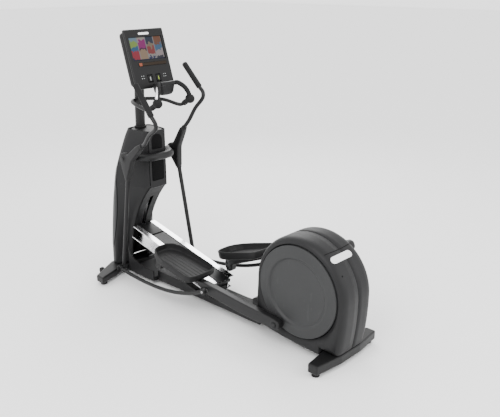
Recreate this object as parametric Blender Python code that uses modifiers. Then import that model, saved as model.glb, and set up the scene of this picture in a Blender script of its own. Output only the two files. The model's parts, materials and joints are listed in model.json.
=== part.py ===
"""Elliptical trainer with a tilting ramp, two foot arms and two moving handlebars.

Metres, +Z up. +Y is the way the user faces, +X the user's right, and the origin is on the
floor under the middle of the machine. Side outlines are lists of (y, z). Every hinge of the
linkage turns about +X.
"""
from math import atan, atan2, cos, hypot, pi, radians, sin, sqrt

import bmesh
import bpy
from mathutils import Matrix, Vector

GAP = 0.0005                     # clearance between neighbouring pieces
SIDES = {"left": -1, "right": 1}

# Crank and discs
CRANK_Y, CRANK_Z = -0.724, 0.389
CRANK_RADIUS = 0.244
CRANK_PHASE = {"left": radians(-64), "right": radians(116)}
DISC_RADIUS = 0.279
DISC_FACE_X = 0.151
DRUM_RADIUS = 0.325
DRUM_HALF_WIDTH = 0.137
FLYWHEEL_Y, FLYWHEEL_Z = -0.500, 0.190

# Foot arm, lying from the crank pin to the front roller
ARM_INNER_X, ARM_OUTER_X = 0.163, 0.213
ARM_TILT = {"left": 0.0509, "right": -0.4214}
ROD_PIVOT_ON_ARM = (0.5711, 0.0063)
PIN_RADIUS = 0.013

# Moving handlebar, turning on the yoke's stub axles
HUB_Y, HUB_Z = 0.740, 0.926
HUB_X = 0.208
SWING = {"left": 0.182, "right": -0.1736}
SWING_ROD_PIVOT = (-0.0588, -0.829)
ROD_X = 0.243

# Ramp, turning on a cross shaft at its low end
RAMP_PIVOT_Y, RAMP_PIVOT_Z = 0.060, 0.115
RAMP_SLOPE = atan(0.238)
RAMP_TOP_Y, RAMP_TOP_Z = 0.443, 0.284      # a point on the rails' top edge
RAIL_HEIGHT = 0.095
RAIL_OUTER_X, RAIL_WEB_X = 0.098, 0.062
RAIL_WALL = 0.006
RAMP_LOW_Y = 0.020
RAMP_REACH = 0.825
TOWER_ARC = 0.840                # radius of the tower's hollow about the ramp pivot

# Console plane: the screen's centre and the lean of its face
SCREEN_Y, SCREEN_Z = 0.717, 1.640
CONSOLE_LEAN = 0.304


def clear_scene():
    for obj in list(bpy.data.objects):
        bpy.data.objects.remove(obj, do_unlink=True)


def collection(name):
    found = bpy.data.collections.get(name)
    if found is None:
        found = bpy.data.collections.new(name)
        bpy.context.scene.collection.children.link(found)
    return found


def material(name, colour, roughness, metallic=0.0):
    made = bpy.data.materials.new(name)
    made.use_nodes = True
    shader = made.node_tree.nodes["Principled BSDF"]
    shader.inputs["Base Color"].default_value = (*colour, 1.0)
    shader.inputs["Roughness"].default_value = roughness
    shader.inputs["Metallic"].default_value = metallic
    return made


def place(obj, name, finish=None, cutter=False):
    """Name an object, put it in its collection and give it its material."""
    obj.name = name
    obj.data.name = name
    for owner in list(obj.users_collection):
        owner.objects.unlink(obj)
    collection("cutters" if cutter else "elliptical_trainer").objects.link(obj)
    if cutter:
        obj.hide_render = True
        obj.display_type = "WIRE"
    if finish is not None:
        obj.data.materials.clear()
        obj.data.materials.append(finish)
    return obj


def bevel(obj, width, segments=2, angle=35):
    made = obj.modifiers.new("edges", "BEVEL")
    made.width = width
    made.segments = segments
    made.limit_method = "ANGLE"
    made.angle_limit = radians(angle)
    return obj


def boolean(obj, tool, operation="DIFFERENCE"):
    made = obj.modifiers.new(operation.lower(), "BOOLEAN")
    made.operation = operation
    made.solver = "EXACT"
    made.object = tool
    place(tool, f"{obj.name}_{operation.lower()}_{len(obj.modifiers)}", cutter=True)
    return obj


def smooth(obj, angle=40):
    obj.data.shade_smooth()
    obj.data.set_sharp_from_angle(angle=radians(angle))
    return obj


def box(name, low, high, finish=None, edge=0.0, segments=2):
    """A block between two corners, in its own object's frame centred on the block."""
    mesh = bpy.data.meshes.new(name)
    cube = bmesh.new()
    bmesh.ops.create_cube(cube, size=1.0)
    size = [h - l for l, h in zip(low, high)]
    bmesh.ops.scale(cube, vec=size, verts=cube.verts)
    cube.to_mesh(mesh)
    cube.free()
    obj = bpy.data.objects.new(name, mesh)
    obj.location = [(l + h) / 2 for l, h in zip(low, high)]
    place(obj, name, finish)
    if edge:
        bevel(obj, edge, segments)
    return obj


def cylinder(name, start, end, radius, finish=None, sides=24, end_radius=None):
    """A round bar or cone between two points."""
    start, end = Vector(start), Vector(end)
    mesh = bpy.data.meshes.new(name)
    bar = bmesh.new()
    bmesh.ops.create_cone(bar, cap_ends=True, segments=sides, radius1=radius,
                          radius2=radius if end_radius is None else end_radius,
                          depth=(end - start).length)
    bar.to_mesh(mesh)
    bar.free()
    obj = bpy.data.objects.new(name, mesh)
    obj.location = (start + end) / 2
    obj.rotation_mode = "QUATERNION"
    obj.rotation_quaternion = Vector((0, 0, 1)).rotation_difference(end - start)
    place(obj, name, finish)
    return smooth(obj)


def ring(name, centre, outer, inner, half, finish, sides=24):
    """A ring about X: a turned profile run once round by the Screw modifier."""
    mesh = bpy.data.meshes.new(name)
    profile = [(outer, half), (outer, -half), (inner, -half), (inner, half)]
    mesh.from_pydata([(r, 0, h) for r, h in profile], [(i, (i + 1) % 4) for i in range(4)], [])
    obj = bpy.data.objects.new(name, mesh)
    turn(obj, sides)
    obj.location = centre
    obj.rotation_euler = (0, pi / 2, 0)
    return place(obj, name, finish)


def turn(obj, sides):
    """Spin the profile in the XZ plane about the object's Z axis."""
    made = obj.modifiers.new("turned", "SCREW")
    made.steps = sides
    made.render_steps = sides
    made.use_merge_vertices = True
    made.merge_threshold = 0.0001
    made.use_smooth_shade = False
    return obj


def curve_to_mesh(obj):
    """Swap a curve for a mesh with its caps welded, so that it can be cut or joined."""
    bpy.context.view_layer.update()
    graph = bpy.context.evaluated_depsgraph_get()
    mesh = bpy.data.meshes.new_from_object(obj.evaluated_get(graph))
    weld = bmesh.new()
    weld.from_mesh(mesh)
    bmesh.ops.remove_doubles(weld, verts=weld.verts, dist=1e-5)
    weld.to_mesh(mesh)
    weld.free()
    made = bpy.data.objects.new(obj.name, mesh)
    bpy.context.scene.collection.objects.link(made)
    made.matrix_world = obj.matrix_world.copy()
    bpy.data.objects.remove(obj, do_unlink=True)
    return made


def plate(name, outline, x0, x1, finish=None, edge=0.0, segments=2):
    """A side outline of (y, z) points made x1 - x0 thick."""
    curve = bpy.data.curves.new(name, "CURVE")
    curve.dimensions = "2D"
    curve.fill_mode = "BOTH"
    curve.extrude = (x1 - x0) / 2
    spline = curve.splines.new("POLY")
    spline.points.add(len(outline) - 1)
    for point, (y, z) in zip(spline.points, outline):
        point.co = (y, z, 0, 1)
    spline.use_cyclic_u = True
    obj = bpy.data.objects.new(name, curve)
    bpy.context.scene.collection.objects.link(obj)
    obj.location = ((x0 + x1) / 2, 0, 0)
    obj.rotation_euler = (pi / 2, 0, pi / 2)
    made = place(curve_to_mesh(obj), name, finish)
    if edge:
        bevel(made, edge, segments)
    return made


def slab(name, outline, z0, z1, finish=None):
    """A plan outline of (x, y) points made z1 - z0 thick."""
    made = plate(name, outline, z0, z1, finish)
    made.matrix_world = Matrix.Translation((0, 0, (z0 + z1) / 2))
    return made


def pipe(name, points, radius, finish=None, resolution=2):
    """A round tube with closed ends along the points."""
    curve = bpy.data.curves.new(name, "CURVE")
    curve.dimensions = "3D"
    curve.bevel_depth = radius
    curve.bevel_resolution = resolution
    curve.use_fill_caps = True
    spline = curve.splines.new("POLY")
    spline.points.add(len(points) - 1)
    for point, place_at in zip(spline.points, points):
        point.co = (*place_at, 1)
    obj = bpy.data.objects.new(name, curve)
    bpy.context.scene.collection.objects.link(obj)
    return smooth(place(curve_to_mesh(obj), name, finish), 50)


def rounded_path(points, steps=4):
    """Catmull-Rom curve through the points."""
    ends = [2 * Vector(points[0]) - Vector(points[1])]
    ends += [Vector(p) for p in points]
    ends += [2 * Vector(points[-1]) - Vector(points[-2])]
    path = []
    for i in range(1, len(ends) - 2):
        a, b, c, d = ends[i - 1:i + 3]
        for k in range(steps):
            t = k / steps
            path.append(0.5 * (2 * b + (c - a) * t + (2 * a - 5 * b + 4 * c - d) * t ** 2
                               + (3 * b - a - 3 * c + d) * t ** 3))
    path.append(ends[-2])
    return path


def arc(centre, radius, start, stop, count):
    """Points of a circle in a side outline, angles in degrees from +Y towards +Z."""
    angles = [radians(start + (stop - start) * i / (count - 1)) for i in range(count)]
    return [(centre[0] + radius * cos(a), centre[1] + radius * sin(a)) for a in angles]


def turned_point(point, angle, about):
    """A side point turned by an angle and moved to its pivot."""
    y, z = point
    return (about[0] + y * cos(angle) - z * sin(angle),
            about[1] + y * sin(angle) + z * cos(angle))


def skin(name, verts, faces, thickness, finish):
    """A lofted surface made into a wall that grows inwards from the loft."""
    mesh = bpy.data.meshes.new(name)
    mesh.from_pydata(verts, [], faces)
    work = bmesh.new()
    work.from_mesh(mesh)
    bmesh.ops.triangulate(work, faces=work.faces)
    work.normal_update()
    middle = sum((v.co for v in work.verts), Vector()) / len(work.verts)
    if sum((f.calc_center_median() - middle).dot(f.normal) * f.calc_area()
           for f in work.faces) < 0:
        bmesh.ops.reverse_faces(work, faces=work.faces)
    work.to_mesh(mesh)
    work.free()
    obj = place(bpy.data.objects.new(name, mesh), name, finish)
    wall = obj.modifiers.new("wall", "SOLIDIFY")
    wall.thickness = thickness
    wall.offset = -1.0
    return smooth(obj, 50)


def mirror_x(points, side):
    return [(side * abs(x) if x else 0.0, y, z) for x, y, z in points]


def span(side, inner, outer):
    """Low and high x of a stretch from inner to outer on one side."""
    return (inner, outer) if side > 0 else (-outer, -inner)


def carry(joint_name, centre, *pieces):
    """Parent the moving pieces to an empty on their joint's axis."""
    empty = bpy.data.objects.new(joint_name, None)
    empty.location = centre
    collection("elliptical_trainer").objects.link(empty)
    for piece in pieces:
        piece.parent = empty
        piece.matrix_parent_inverse = Matrix.Translation(-Vector(centre))


def finishes():
    return {
        "frame_black": material("frame_black", (0.018, 0.018, 0.020), 0.48),
        "shell_grey": material("shell_grey", (0.045, 0.046, 0.048), 0.52),
        "panel_black": material("panel_black", (0.012, 0.012, 0.013), 0.30),
        "disc_grey": material("disc_grey", (0.115, 0.115, 0.117), 0.50),
        "aluminium": material("aluminium", (0.83, 0.83, 0.84), 0.22, 1.0),
        "steel": material("steel", (0.55, 0.55, 0.56), 0.30, 1.0),
        "rubber": material("rubber", (0.014, 0.014, 0.015), 0.75),
        "screen_glass": material("screen_glass", (0.05, 0.06, 0.09), 0.08),
        "belt_rubber": material("belt_rubber", (0.02, 0.02, 0.02), 0.85),
        "cast_iron": material("cast_iron", (0.10, 0.10, 0.105), 0.55, 1.0),
    }


# ---------------------------------------------------------------- floor frame

def base_spine(mats):
    """The floor beam with the upright plate inside the drum that carries the crank."""
    outline = [(0.600, 0.032), (0.600, 0.105), (0.300, 0.100), (0.180, 0.074), (-0.120, 0.074),
               (-0.330, 0.086), (-0.330, 0.200), (-0.388, 0.226), (-0.388, 0.036)]
    spine = plate("base_spine", outline, -0.088, 0.088, mats["frame_black"])
    upright = [(-0.350, 0.092), (-0.350, 0.186), (CRANK_Y + 0.070, CRANK_Z + 0.050),
               (CRANK_Y - 0.060, CRANK_Z + 0.050), (-0.930, 0.1500), (-0.930, 0.092)]
    inside = [(0.700, 0.040), (0.700, 0.096), (0.300, 0.091), (0.180, 0.066), (-0.120, 0.066),
              (-0.340, 0.078), (-0.340, 0.040)]
    boolean(spine, plate("beam_inside", inside, -0.081, 0.081))
    boolean(spine, plate("crank_plate", upright, -0.076, -0.060), "UNION")
    boolean(spine, box("ramp_lug", (-0.040, 0.035, 0.070), (0.040, 0.085, 0.130)), "UNION")
    boolean(spine, cylinder("ramp_shaft", (-0.0555, RAMP_PIVOT_Y, RAMP_PIVOT_Z),
                            (0.0555, RAMP_PIVOT_Y, RAMP_PIVOT_Z), 0.0120, sides=20), "UNION")
    for y, z, radius in ((CRANK_Y, CRANK_Z, 0.0185), (FLYWHEEL_Y, FLYWHEEL_Z, 0.0085)):
        boolean(spine, cylinder("bearing", (-0.1, y, z), (-0.03, y, z), radius, sides=20))


def swept_plan(root, tip_y, half_length, width, inset=0.0, reach=1.0):
    """Plan of a cross leg whose ends sweep back, optionally drawn in and cut short."""
    near, far, half_root = root
    right = [(half_root, near + inset)]
    for edge, root_y, step in ((-width / 2, near, inset), (width / 2, far, -inset)):
        tip = tip_y + edge
        y = root_y + (tip - root_y) * reach + step
        right.append((half_root + (half_length - half_root) * reach, y))
    right.append((half_root, far - inset))
    return right + [(-x, y) for x, y in reversed(right)]


def stabilizer(name, mats, root, tip_y, half_length, height, width):
    """A cross leg, open underneath between its levelling feet."""
    low, high = height
    leg = slab(name, swept_plan(root, tip_y, half_length, width), low, high,
               mats["frame_black"])
    bevel(leg, 0.008)
    pocket = swept_plan(root, tip_y, half_length, width, 0.010, 0.62)
    boolean(leg, slab("pocket", pocket, low - 0.02, high - 0.006))
    return leg


def stabilizers(mats):
    stabilizer("rear_stabilizer", mats, (-1.020, -0.904, 0.09), -0.962, 0.285,
               (0.022, 0.078), 0.066)
    stabilizer("front_stabilizer", mats, (0.915, 1.044, 0.170), 0.874, 0.395,
               (0.022, 0.0705), 0.078)


def levelling_feet(mats):
    for end, y, x in (("rear", -0.962, 0.252), ("front", 0.886, 0.352)):
        for side, sign in SIDES.items():
            cylinder(f"{side}_{end}_foot", (sign * x, y, 0), (sign * x, y, 0.0215), 0.024,
                     mats["rubber"], 20, 0.019)


def transport_wheels(mats):
    """Small wheels in notches at the front of the front leg."""
    y, z, radius = 1.0225, 0.033, 0.026
    for side, sign in SIDES.items():
        wheel = ring(f"{side}_transport_wheel", (sign * 0.270, y, z), radius, 0.006, 0.011,
                     mats["rubber"], 20)
        carry(f"{side}_wheel_spin", (sign * 0.270, y, z), wheel)


# ---------------------------------------------------------------- tower

TOWER_LEVELS = [
    # z, half width at the front, front y
    (0.072, 0.168, 1.049), (0.140, 0.168, 1.049), (0.220, 0.168, 1.046), (0.320, 0.166, 1.038),
    (0.420, 0.163, 1.029), (0.520, 0.160, 1.018), (0.600, 0.157, 1.008), (0.660, 0.154, 0.998),
    (0.700, 0.152, 0.993), (0.800, 0.144, 0.975), (0.900, 0.130, 0.946), (1.000, 0.115, 0.911),
    (1.060, 0.106, 0.887), (1.100, 0.098, 0.868)]
PANEL_Y = 0.655
PANEL_HALF = 0.069
PANEL_LOW = 0.700


def hollow_y(z):
    """Where the tower's rear edge is at a height: the arc below, the flat panel above."""
    if z >= PANEL_LOW - 1e-6:
        return PANEL_Y
    return RAMP_PIVOT_Y + sqrt(TOWER_ARC ** 2 - (z - RAMP_PIVOT_Z) ** 2)


def tower_shells(mats):
    """Half skins from the front middle round the corner to the rear edge."""
    for side, sign in SIDES.items():
        rows = []
        for z, half, front in TOWER_LEVELS:
            rear = hollow_y(z)
            plan = [(GAP, front), (0.60 * half, front - 0.003), (0.90 * half, front - 0.014),
                    (half, front - 0.040), (0.985 * half, front - 0.085),
                    (0.086, rear + 0.030), (0.0755, rear + 0.002)]
            rows.append([(sign * x, y, z) for x, y in plan])
        count = len(rows[0])
        verts = [point for row in rows for point in row]
        faces = []
        for i in range(len(rows) - 1):
            for j in range(count - 1):
                a, b = i * count + j, (i + 1) * count + j
                quad = (a, a + 1, b + 1, b)
                faces.append(quad if sign > 0 else quad[::-1])
        skin(f"tower_shell_{side}", verts, faces, 0.004, mats["shell_grey"])


def tower_rear_panel(mats):
    """The flat panel that faces the user and the hollow below it, with the lift slot."""
    outer = [(PANEL_Y, 1.098)]
    outer += [(PANEL_Y, PANEL_LOW)]
    heights = [0.690, 0.640, 0.580, 0.510, 0.430, 0.340, 0.250]
    outer += [(hollow_y(z), z) for z in heights]
    wall = 0.005
    inner = [(y + wall, z) for y, z in reversed(outer)]
    panel = plate("tower_rear_panel", outer + inner, -PANEL_HALF, PANEL_HALF,
                  mats["shell_grey"])
    middle = [(RAMP_PIVOT_Y + TOWER_ARC * cos(a), RAMP_PIVOT_Z + TOWER_ARC * sin(a))
              for a in (radians(d) for d in (6.0, 12.0, 18.0, 24.0, 30.0, 36.0))]
    cut = plate("lift_slot", [(y - 0.03, z) for y, z in middle]
                + [(y + 0.03, z) for y, z in reversed(middle)], -0.010, 0.020)
    boolean(panel, cut)


def tower_inside(mats):
    column = [(0.978, 0.0712), (1.018, 0.0712), (0.868, 1.040), (0.828, 1.040)]
    plate("upright", column, -0.052, -0.012, mats["frame_black"])
    foot_y, foot_z, dir_y, dir_z = screw_line()
    top = (0.034, foot_y + 0.50 * dir_y, foot_z + 0.50 * dir_z)
    cylinder("lift_screw", (0.034, foot_y, foot_z), top, 0.0085, mats["steel"], 16)
    motor_top = (0.034, foot_y - 0.0006 * dir_y, foot_z - 0.0006 * dir_z)
    motor_low = (0.034, foot_y - 0.075 * dir_y, foot_z - 0.075 * dir_z)
    cylinder("lift_motor", motor_low, motor_top, 0.032, mats["panel_black"], 20)


LIFT_PIN_REACH = 0.885
LIFT_LOW, LIFT_HIGH = radians(-3.4), radians(21.6)
LIFT_PIN_ANGLE = radians(12.4)


def lift_pin(tilt):
    """Side point of the ramp's lift pin when the ramp has turned by tilt."""
    angle = LIFT_PIN_ANGLE + tilt
    return (RAMP_PIVOT_Y + LIFT_PIN_REACH * cos(angle),
            RAMP_PIVOT_Z + LIFT_PIN_REACH * sin(angle))


def screw_line():
    """Foot and direction of the lift screw, parallel to the chord of the pin's path."""
    low, high, rest = lift_pin(LIFT_LOW), lift_pin(LIFT_HIGH), lift_pin(0.0)
    length = hypot(high[0] - low[0], high[1] - low[1])
    dy, dz = (high[0] - low[0]) / length, (high[1] - low[1]) / length
    return rest[0] - 0.115 * dy, rest[1] - 0.115 * dz, dy, dz


def lift_nut(mats):
    """The nut that climbs the screw and carries the ramp's front end."""
    y, z = lift_pin(0.0)
    _, _, dy, dz = screw_line()
    angle = atan(dy / dz)
    nut = box("lift_nut", (0.0130, -0.016, -0.018), (0.0550, 0.016, 0.018), mats["steel"], 0.002)
    nut.location = (0.034, y, z)
    nut.rotation_euler = (-angle, 0, 0)
    boolean(nut, cylinder("bore", (0.034, y - 0.06 * dy, z - 0.06 * dz),
                          (0.034, y + 0.06 * dy, z + 0.06 * dz), 0.0105, sides=16))


def base_shroud(mats):
    """The trough behind the tower that the ramp lies over."""
    outline = [(0.6006, 0.030), (0.884, 0.030), (0.884, 0.250), (0.868, 0.190), (0.838, 0.150),
               (0.780, 0.122), (0.700, 0.112), (0.6006, 0.112)]
    shroud = plate("base_shroud", outline, -0.128, 0.128, mats["shell_grey"])
    hollow = plate("trough", [(0.560, 0.060), (0.8995, 0.060), (0.8995, 0.300), (0.560, 0.300)],
                   -0.116, 0.116)
    boolean(shroud, hollow)


def tower_top_cap(mats):
    half = [(0.060, 0.662), (0.084, 0.735), (0.089, 0.815), (0.055, 0.852)]
    plan = half + [(-x, y) for x, y in reversed(half)]
    slab("tower_top_cap", plan, 1.090, 1.097, mats["panel_black"])


def mast(mats):
    """The bent tube from the tower's top to the back of the console."""
    end = console_frame() @ Vector((0, 0.0626, -0.130))
    before = console_frame() @ Vector((0, 0.1000, -0.130))
    path = [(0, 0.8270, 1.1006), (0, 0.827, 1.115), (0, 0.8235, 1.260), (0, 0.8205, 1.330), (0, 0.817, 1.380),
            (0, 0.813, 1.415), (0, 0.802, 1.448), before, end]
    tube = pipe("mast", path, 0.034, mats["frame_black"], 4)
    boolean(tube, pipe("bar_space", handlebar_path(), 0.0130))


def crossbar(mats):
    """The yoke that wraps behind the tower and ends in the stub axles of the hubs."""
    half = [(0.0, 0.6215, HUB_Z), (0.060, 0.6225, HUB_Z), (0.100, 0.640, HUB_Z),
            (0.126, 0.680, HUB_Z), (0.144, 0.722, HUB_Z), (0.168, HUB_Y, HUB_Z)]
    path = mirror_x(half[:0:-1], -1) + half
    bar = pipe("crossbar", rounded_path(path, 2), 0.027, mats["frame_black"], 4)
    for sign in SIDES.values():
        boolean(bar, cylinder("stub", (sign * 0.150, HUB_Y, HUB_Z), (sign * 0.236, HUB_Y, HUB_Z),
                              0.0145, sides=20), "UNION")


# ---------------------------------------------------------------- rear drive

def drum_outline():
    """Side outline of the drum: a circle about the crank that runs down to the floor beam."""
    outline = [(-0.500, 0.060), (-0.420, 0.078), (-0.390, 0.100), (-0.390, 0.180),
               (-0.394, 0.260)]
    outline += arc((CRANK_Y, CRANK_Z), DRUM_RADIUS, -10, 180, 24)[1:]
    outline += [(-1.048, 0.330), (-1.043, 0.250), (-1.034, 0.170), (-1.022, 0.100),
                (-1.000, 0.036), (-0.900, 0.034), (-0.760, 0.034), (-0.620, 0.044)]
    return outline


def even_steps(outline):
    """Split long edges so that no step is wider than eight degrees seen from the crank."""
    points = []
    for (y0, z0), (y1, z1) in zip(outline, outline[1:] + outline[:1]):
        turn_by = atan2(z1 - CRANK_Z, y1 - CRANK_Y) - atan2(z0 - CRANK_Z, y0 - CRANK_Y)
        turn_by = (turn_by + pi) % (2 * pi) - pi
        count = max(1, int(abs(turn_by) / radians(8)) + 1)
        points += [(y0 + (y1 - y0) * i / count, z0 + (z1 - z0) * i / count)
                   for i in range(count)]
    return points


def drive_shrouds(mats):
    """Two half skins lofted from the middle seam over a rounded edge to the disc's hole."""
    outline = even_steps(drum_outline())
    count = len(outline)
    rows = [(0.0003, 0.0), (0.092, 0.0), (0.112, 0.005), (0.127, 0.016), (0.1355, 0.029),
            (DRUM_HALF_WIDTH, None)]
    for side, sign in SIDES.items():
        verts = []
        for x, inset in rows:
            for y, z in outline:
                dy, dz = y - CRANK_Y, z - CRANK_Z
                reach = hypot(dy, dz)
                scale = (DISC_RADIUS + 0.0045) / reach if inset is None else 1 - inset / reach
                verts.append((sign * x, CRANK_Y + dy * scale, CRANK_Z + dz * scale))
        faces = []
        for i in range(len(rows) - 1):
            for j in range(count):
                k = (j + 1) % count
                quad = (i * count + j, i * count + k, (i + 1) * count + k, (i + 1) * count + j)
                faces.append(quad[::-1] if sign > 0 else quad)
        shell = skin(f"drive_shroud_{side}", verts, faces, 0.005, mats["shell_grey"])
        boolean(shell, box("plate_slot", (-0.0780, -0.430, 0.0885), (-0.0580, -0.340, 0.2255)))
        boolean(shell, box("leg_notch", (-0.3, -1.0206, 0.0), (0.3, -0.9034, 0.0784)))


def crank_pin(side):
    angle = CRANK_PHASE[side]
    return (CRANK_Y + CRANK_RADIUS * cos(angle), CRANK_Z + CRANK_RADIUS * sin(angle))


def discs(mats):
    """Turned discs with a raised ring, each carrying its crank pin."""
    made = []
    for side, sign in SIDES.items():
        inner_x = 0.128
        profile = [(0.0, DISC_FACE_X - 0.012), (0.196, DISC_FACE_X - 0.012),
                   (0.208, DISC_FACE_X), (0.222, DISC_FACE_X), (0.232, DISC_FACE_X - 0.004),
                   (0.274, DISC_FACE_X - 0.004), (DISC_RADIUS, DISC_FACE_X - 0.008),
                   (DISC_RADIUS, inner_x), (0.0, inner_x)]
        mesh = bpy.data.meshes.new(f"{side}_disc")
        mesh.from_pydata([(r, 0, h) for r, h in profile],
                         [(i, i + 1) for i in range(len(profile) - 1)], [])
        disc = bpy.data.objects.new(mesh.name, mesh)
        turn(disc, 48)
        disc.location = (0, CRANK_Y, CRANK_Z)
        disc.rotation_euler = (0, sign * pi / 2, 0)
        place(disc, f"{side}_disc", mats["disc_grey"])
        y, z = crank_pin(side)
        boolean(disc, cylinder("pin", (sign * 0.135, y, z), (sign * 0.2185, y, z), PIN_RADIUS,
                               sides=20), "UNION")
        made.append(disc)
    return made


def crank(mats):
    axle = cylinder("crank_axle", (-0.1275, CRANK_Y, CRANK_Z), (0.1275, CRANK_Y, CRANK_Z), 0.018,
                    mats["steel"], 20)
    pulley = ring("crank_pulley", (0.030, CRANK_Y, CRANK_Z), 0.150, 0.0185, 0.012,
                  mats["cast_iron"], 36)
    carry("crank_spin", (0, CRANK_Y, CRANK_Z), axle, pulley, *discs(mats))


def flywheel(mats):
    """The generator's rotor, its axle and the small pulley that the belt drives."""
    y, z = FLYWHEEL_Y, FLYWHEEL_Z
    rotor = cylinder("flywheel", (-0.044, y, z), (0.010, y, z), 0.072, mats["cast_iron"], 28)
    boolean(rotor, cylinder("hub", (0.0, y, z), (0.044, y, z), 0.028, sides=20), "UNION")
    boolean(rotor, cylinder("axle", (-0.080, y, z), (-0.020, y, z), 0.0080, sides=16), "UNION")
    carry("flywheel_spin", (0, y, z), rotor)


def drive_belt(mats):
    """A flat belt round both pulleys, just clear of them."""
    heading = atan2(FLYWHEEL_Z - CRANK_Z, FLYWHEEL_Y - CRANK_Y)
    wraps = (((CRANK_Y, CRANK_Z), 0.1518, pi / 2 - 0.30, 3 * pi / 2 + 0.30),
             ((FLYWHEEL_Y, FLYWHEEL_Z), 0.0295, -pi / 2 + 0.30, pi / 2 - 0.30))
    loops = []
    for extra in (0.0035, 0.0):
        loop = []
        for centre, radius, start, stop in wraps:
            for i in range(22):
                a = heading + start + (stop - start) * i / 21
                loop.append((centre[0] + (radius + extra) * cos(a),
                             centre[1] + (radius + extra) * sin(a)))
        loops.append(loop)
    belt = plate("drive_belt", loops[0], 0.020, 0.040, mats["belt_rubber"])
    boolean(belt, plate("belt_inside", loops[1], 0.0, 0.06))


# ---------------------------------------------------------------- foot arms and pedals

def foot_arms(mats):
    """Box beams from the crank pins, with the pedals bolted on top."""
    beam = [(-0.036, -0.013), (-0.026, -0.026), (0.0, -0.033), (0.090, -0.036),
            (0.290, -0.038), (0.540, -0.028), (0.610, -0.020), (0.665, 0.018), (1.015, 0.022),
            (1.032, -0.018), (1.082, -0.018), (1.086, 0.030), (1.052, 0.0912), (0.640, 0.0405),
            (0.615, 0.0470), (0.290, 0.0370), (0.070, 0.0350), (0.0, 0.033), (-0.026, 0.026),
            (-0.036, 0.012)]
    for side, sign in SIDES.items():
        pin = crank_pin(side)
        tilt = ARM_TILT[side]
        x0, x1 = span(sign, ARM_INNER_X, ARM_OUTER_X)
        outline = [turned_point(p, tilt, pin) for p in beam]
        arm = plate(f"{side}_foot_arm", outline, x0, x1, mats["frame_black"], 0.005)
        hollow = [turned_point(p, tilt, pin) for p in
                  ((0.060, -0.029), (0.290, -0.032), (0.535, -0.022), (0.540, 0.037),
                   (0.290, 0.030), (0.060, 0.028))]
        h0, h1 = span(sign, ARM_INNER_X - 0.010, ARM_OUTER_X - 0.005)
        boolean(arm, plate("hollow", hollow, h0, h1))
        boolean(arm, cylinder("bore", (sign * 0.15, *pin), (sign * 0.23, *pin), 0.0205,
                              sides=24))
        bush = ring(f"{side}_pin_bearing", (sign * 0.188, *pin), 0.0200, 0.0135, 0.025,
                    mats["steel"], 24)
        carry(f"{side}_bearing_turn", (sign * 0.188, *pin), bush)
        tray = pedal(side, sign, mats)
        carry(f"{side}_foot_arm_tilt", (sign * 0.188, *pin), arm, tray)


PEDAL_PLAN = [(-0.062, 0.002), (0.062, 0.002), (0.110, 0.014), (0.122, 0.050), (0.122, 0.250),
              (0.108, 0.340), (0.078, 0.400), (0.036, 0.424), (-0.036, 0.424), (-0.078, 0.404),
              (-0.108, 0.350), (-0.122, 0.270), (-0.122, 0.050), (-0.110, 0.014)]
PEDAL_X = 0.177
PEDAL_START = (0.640, 0.066)     # heel of the tray's floor, from the pin along the arm
PEDAL_PITCH = radians(7.0)


def pedal(side, sign, mats):
    """A tray with a floor and a wall that rises from heel to toe."""
    frame = pedal_frame(side, sign)
    plan = [(x, y) for x, y in PEDAL_PLAN]
    tray = slab(f"{side}_pedal", plan, 0.0, 0.075, mats["rubber"])
    inset = [(x * 0.925, 0.212 + (y - 0.212) * 0.955) for x, y in plan]
    pocket = slab("pocket", inset, 0.015, 0.120)
    top = box("slant", (-0.3, -0.3, 0.0), (0.3, 0.9, 0.2))
    top.matrix_world = frame @ Matrix.Translation((0, 0.0, 0.046)) @ \
        Matrix.Rotation(radians(1.6), 4, "X") @ Matrix.Translation((0, 0.3, 0.1))
    for piece in (tray, pocket):
        piece.matrix_world = frame @ piece.matrix_world
    boolean(tray, pocket)
    boolean(tray, top)
    return tray


def pedal_frame(side, sign):
    """Axes of a pedal: x across, y from heel to toe, z up from the underside."""
    pin = crank_pin(side)
    y, z = turned_point(PEDAL_START, ARM_TILT[side], pin)
    lift = -0.024
    up_y, up_z = turned_point((0, lift), ARM_TILT[side] + PEDAL_PITCH, (0, 0))
    return Matrix.Translation((sign * PEDAL_X, y + up_y, z + up_z)) @ \
        Matrix.Rotation(ARM_TILT[side] + PEDAL_PITCH, 4, "X")


# ---------------------------------------------------------------- ramp

def ramp_top(y):
    return RAMP_TOP_Z + (y - RAMP_TOP_Y) * sin(RAMP_SLOPE) / cos(RAMP_SLOPE)


def ramp_front(y_guess, drop):
    """Where a line drop below the rails' top edge meets the ramp's front radius."""
    y = y_guess
    for _ in range(30):
        z = ramp_top(y) - drop
        reach = hypot(y - RAMP_PIVOT_Y, z - RAMP_PIVOT_Z)
        y += (RAMP_REACH - reach) * 0.9
    return (y, ramp_top(y) - drop)


def ramp_outline(low_drop, high_drop):
    """Side outline of a strip of the ramp between two depths under its top edge."""
    front_high = ramp_front(0.85, high_drop)
    front_low = ramp_front(0.85, low_drop)
    return [(RAMP_LOW_Y, ramp_top(RAMP_LOW_Y) - high_drop), front_high, front_low,
            (RAMP_LOW_Y + 0.022, ramp_top(RAMP_LOW_Y + 0.022) - low_drop)]


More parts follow.
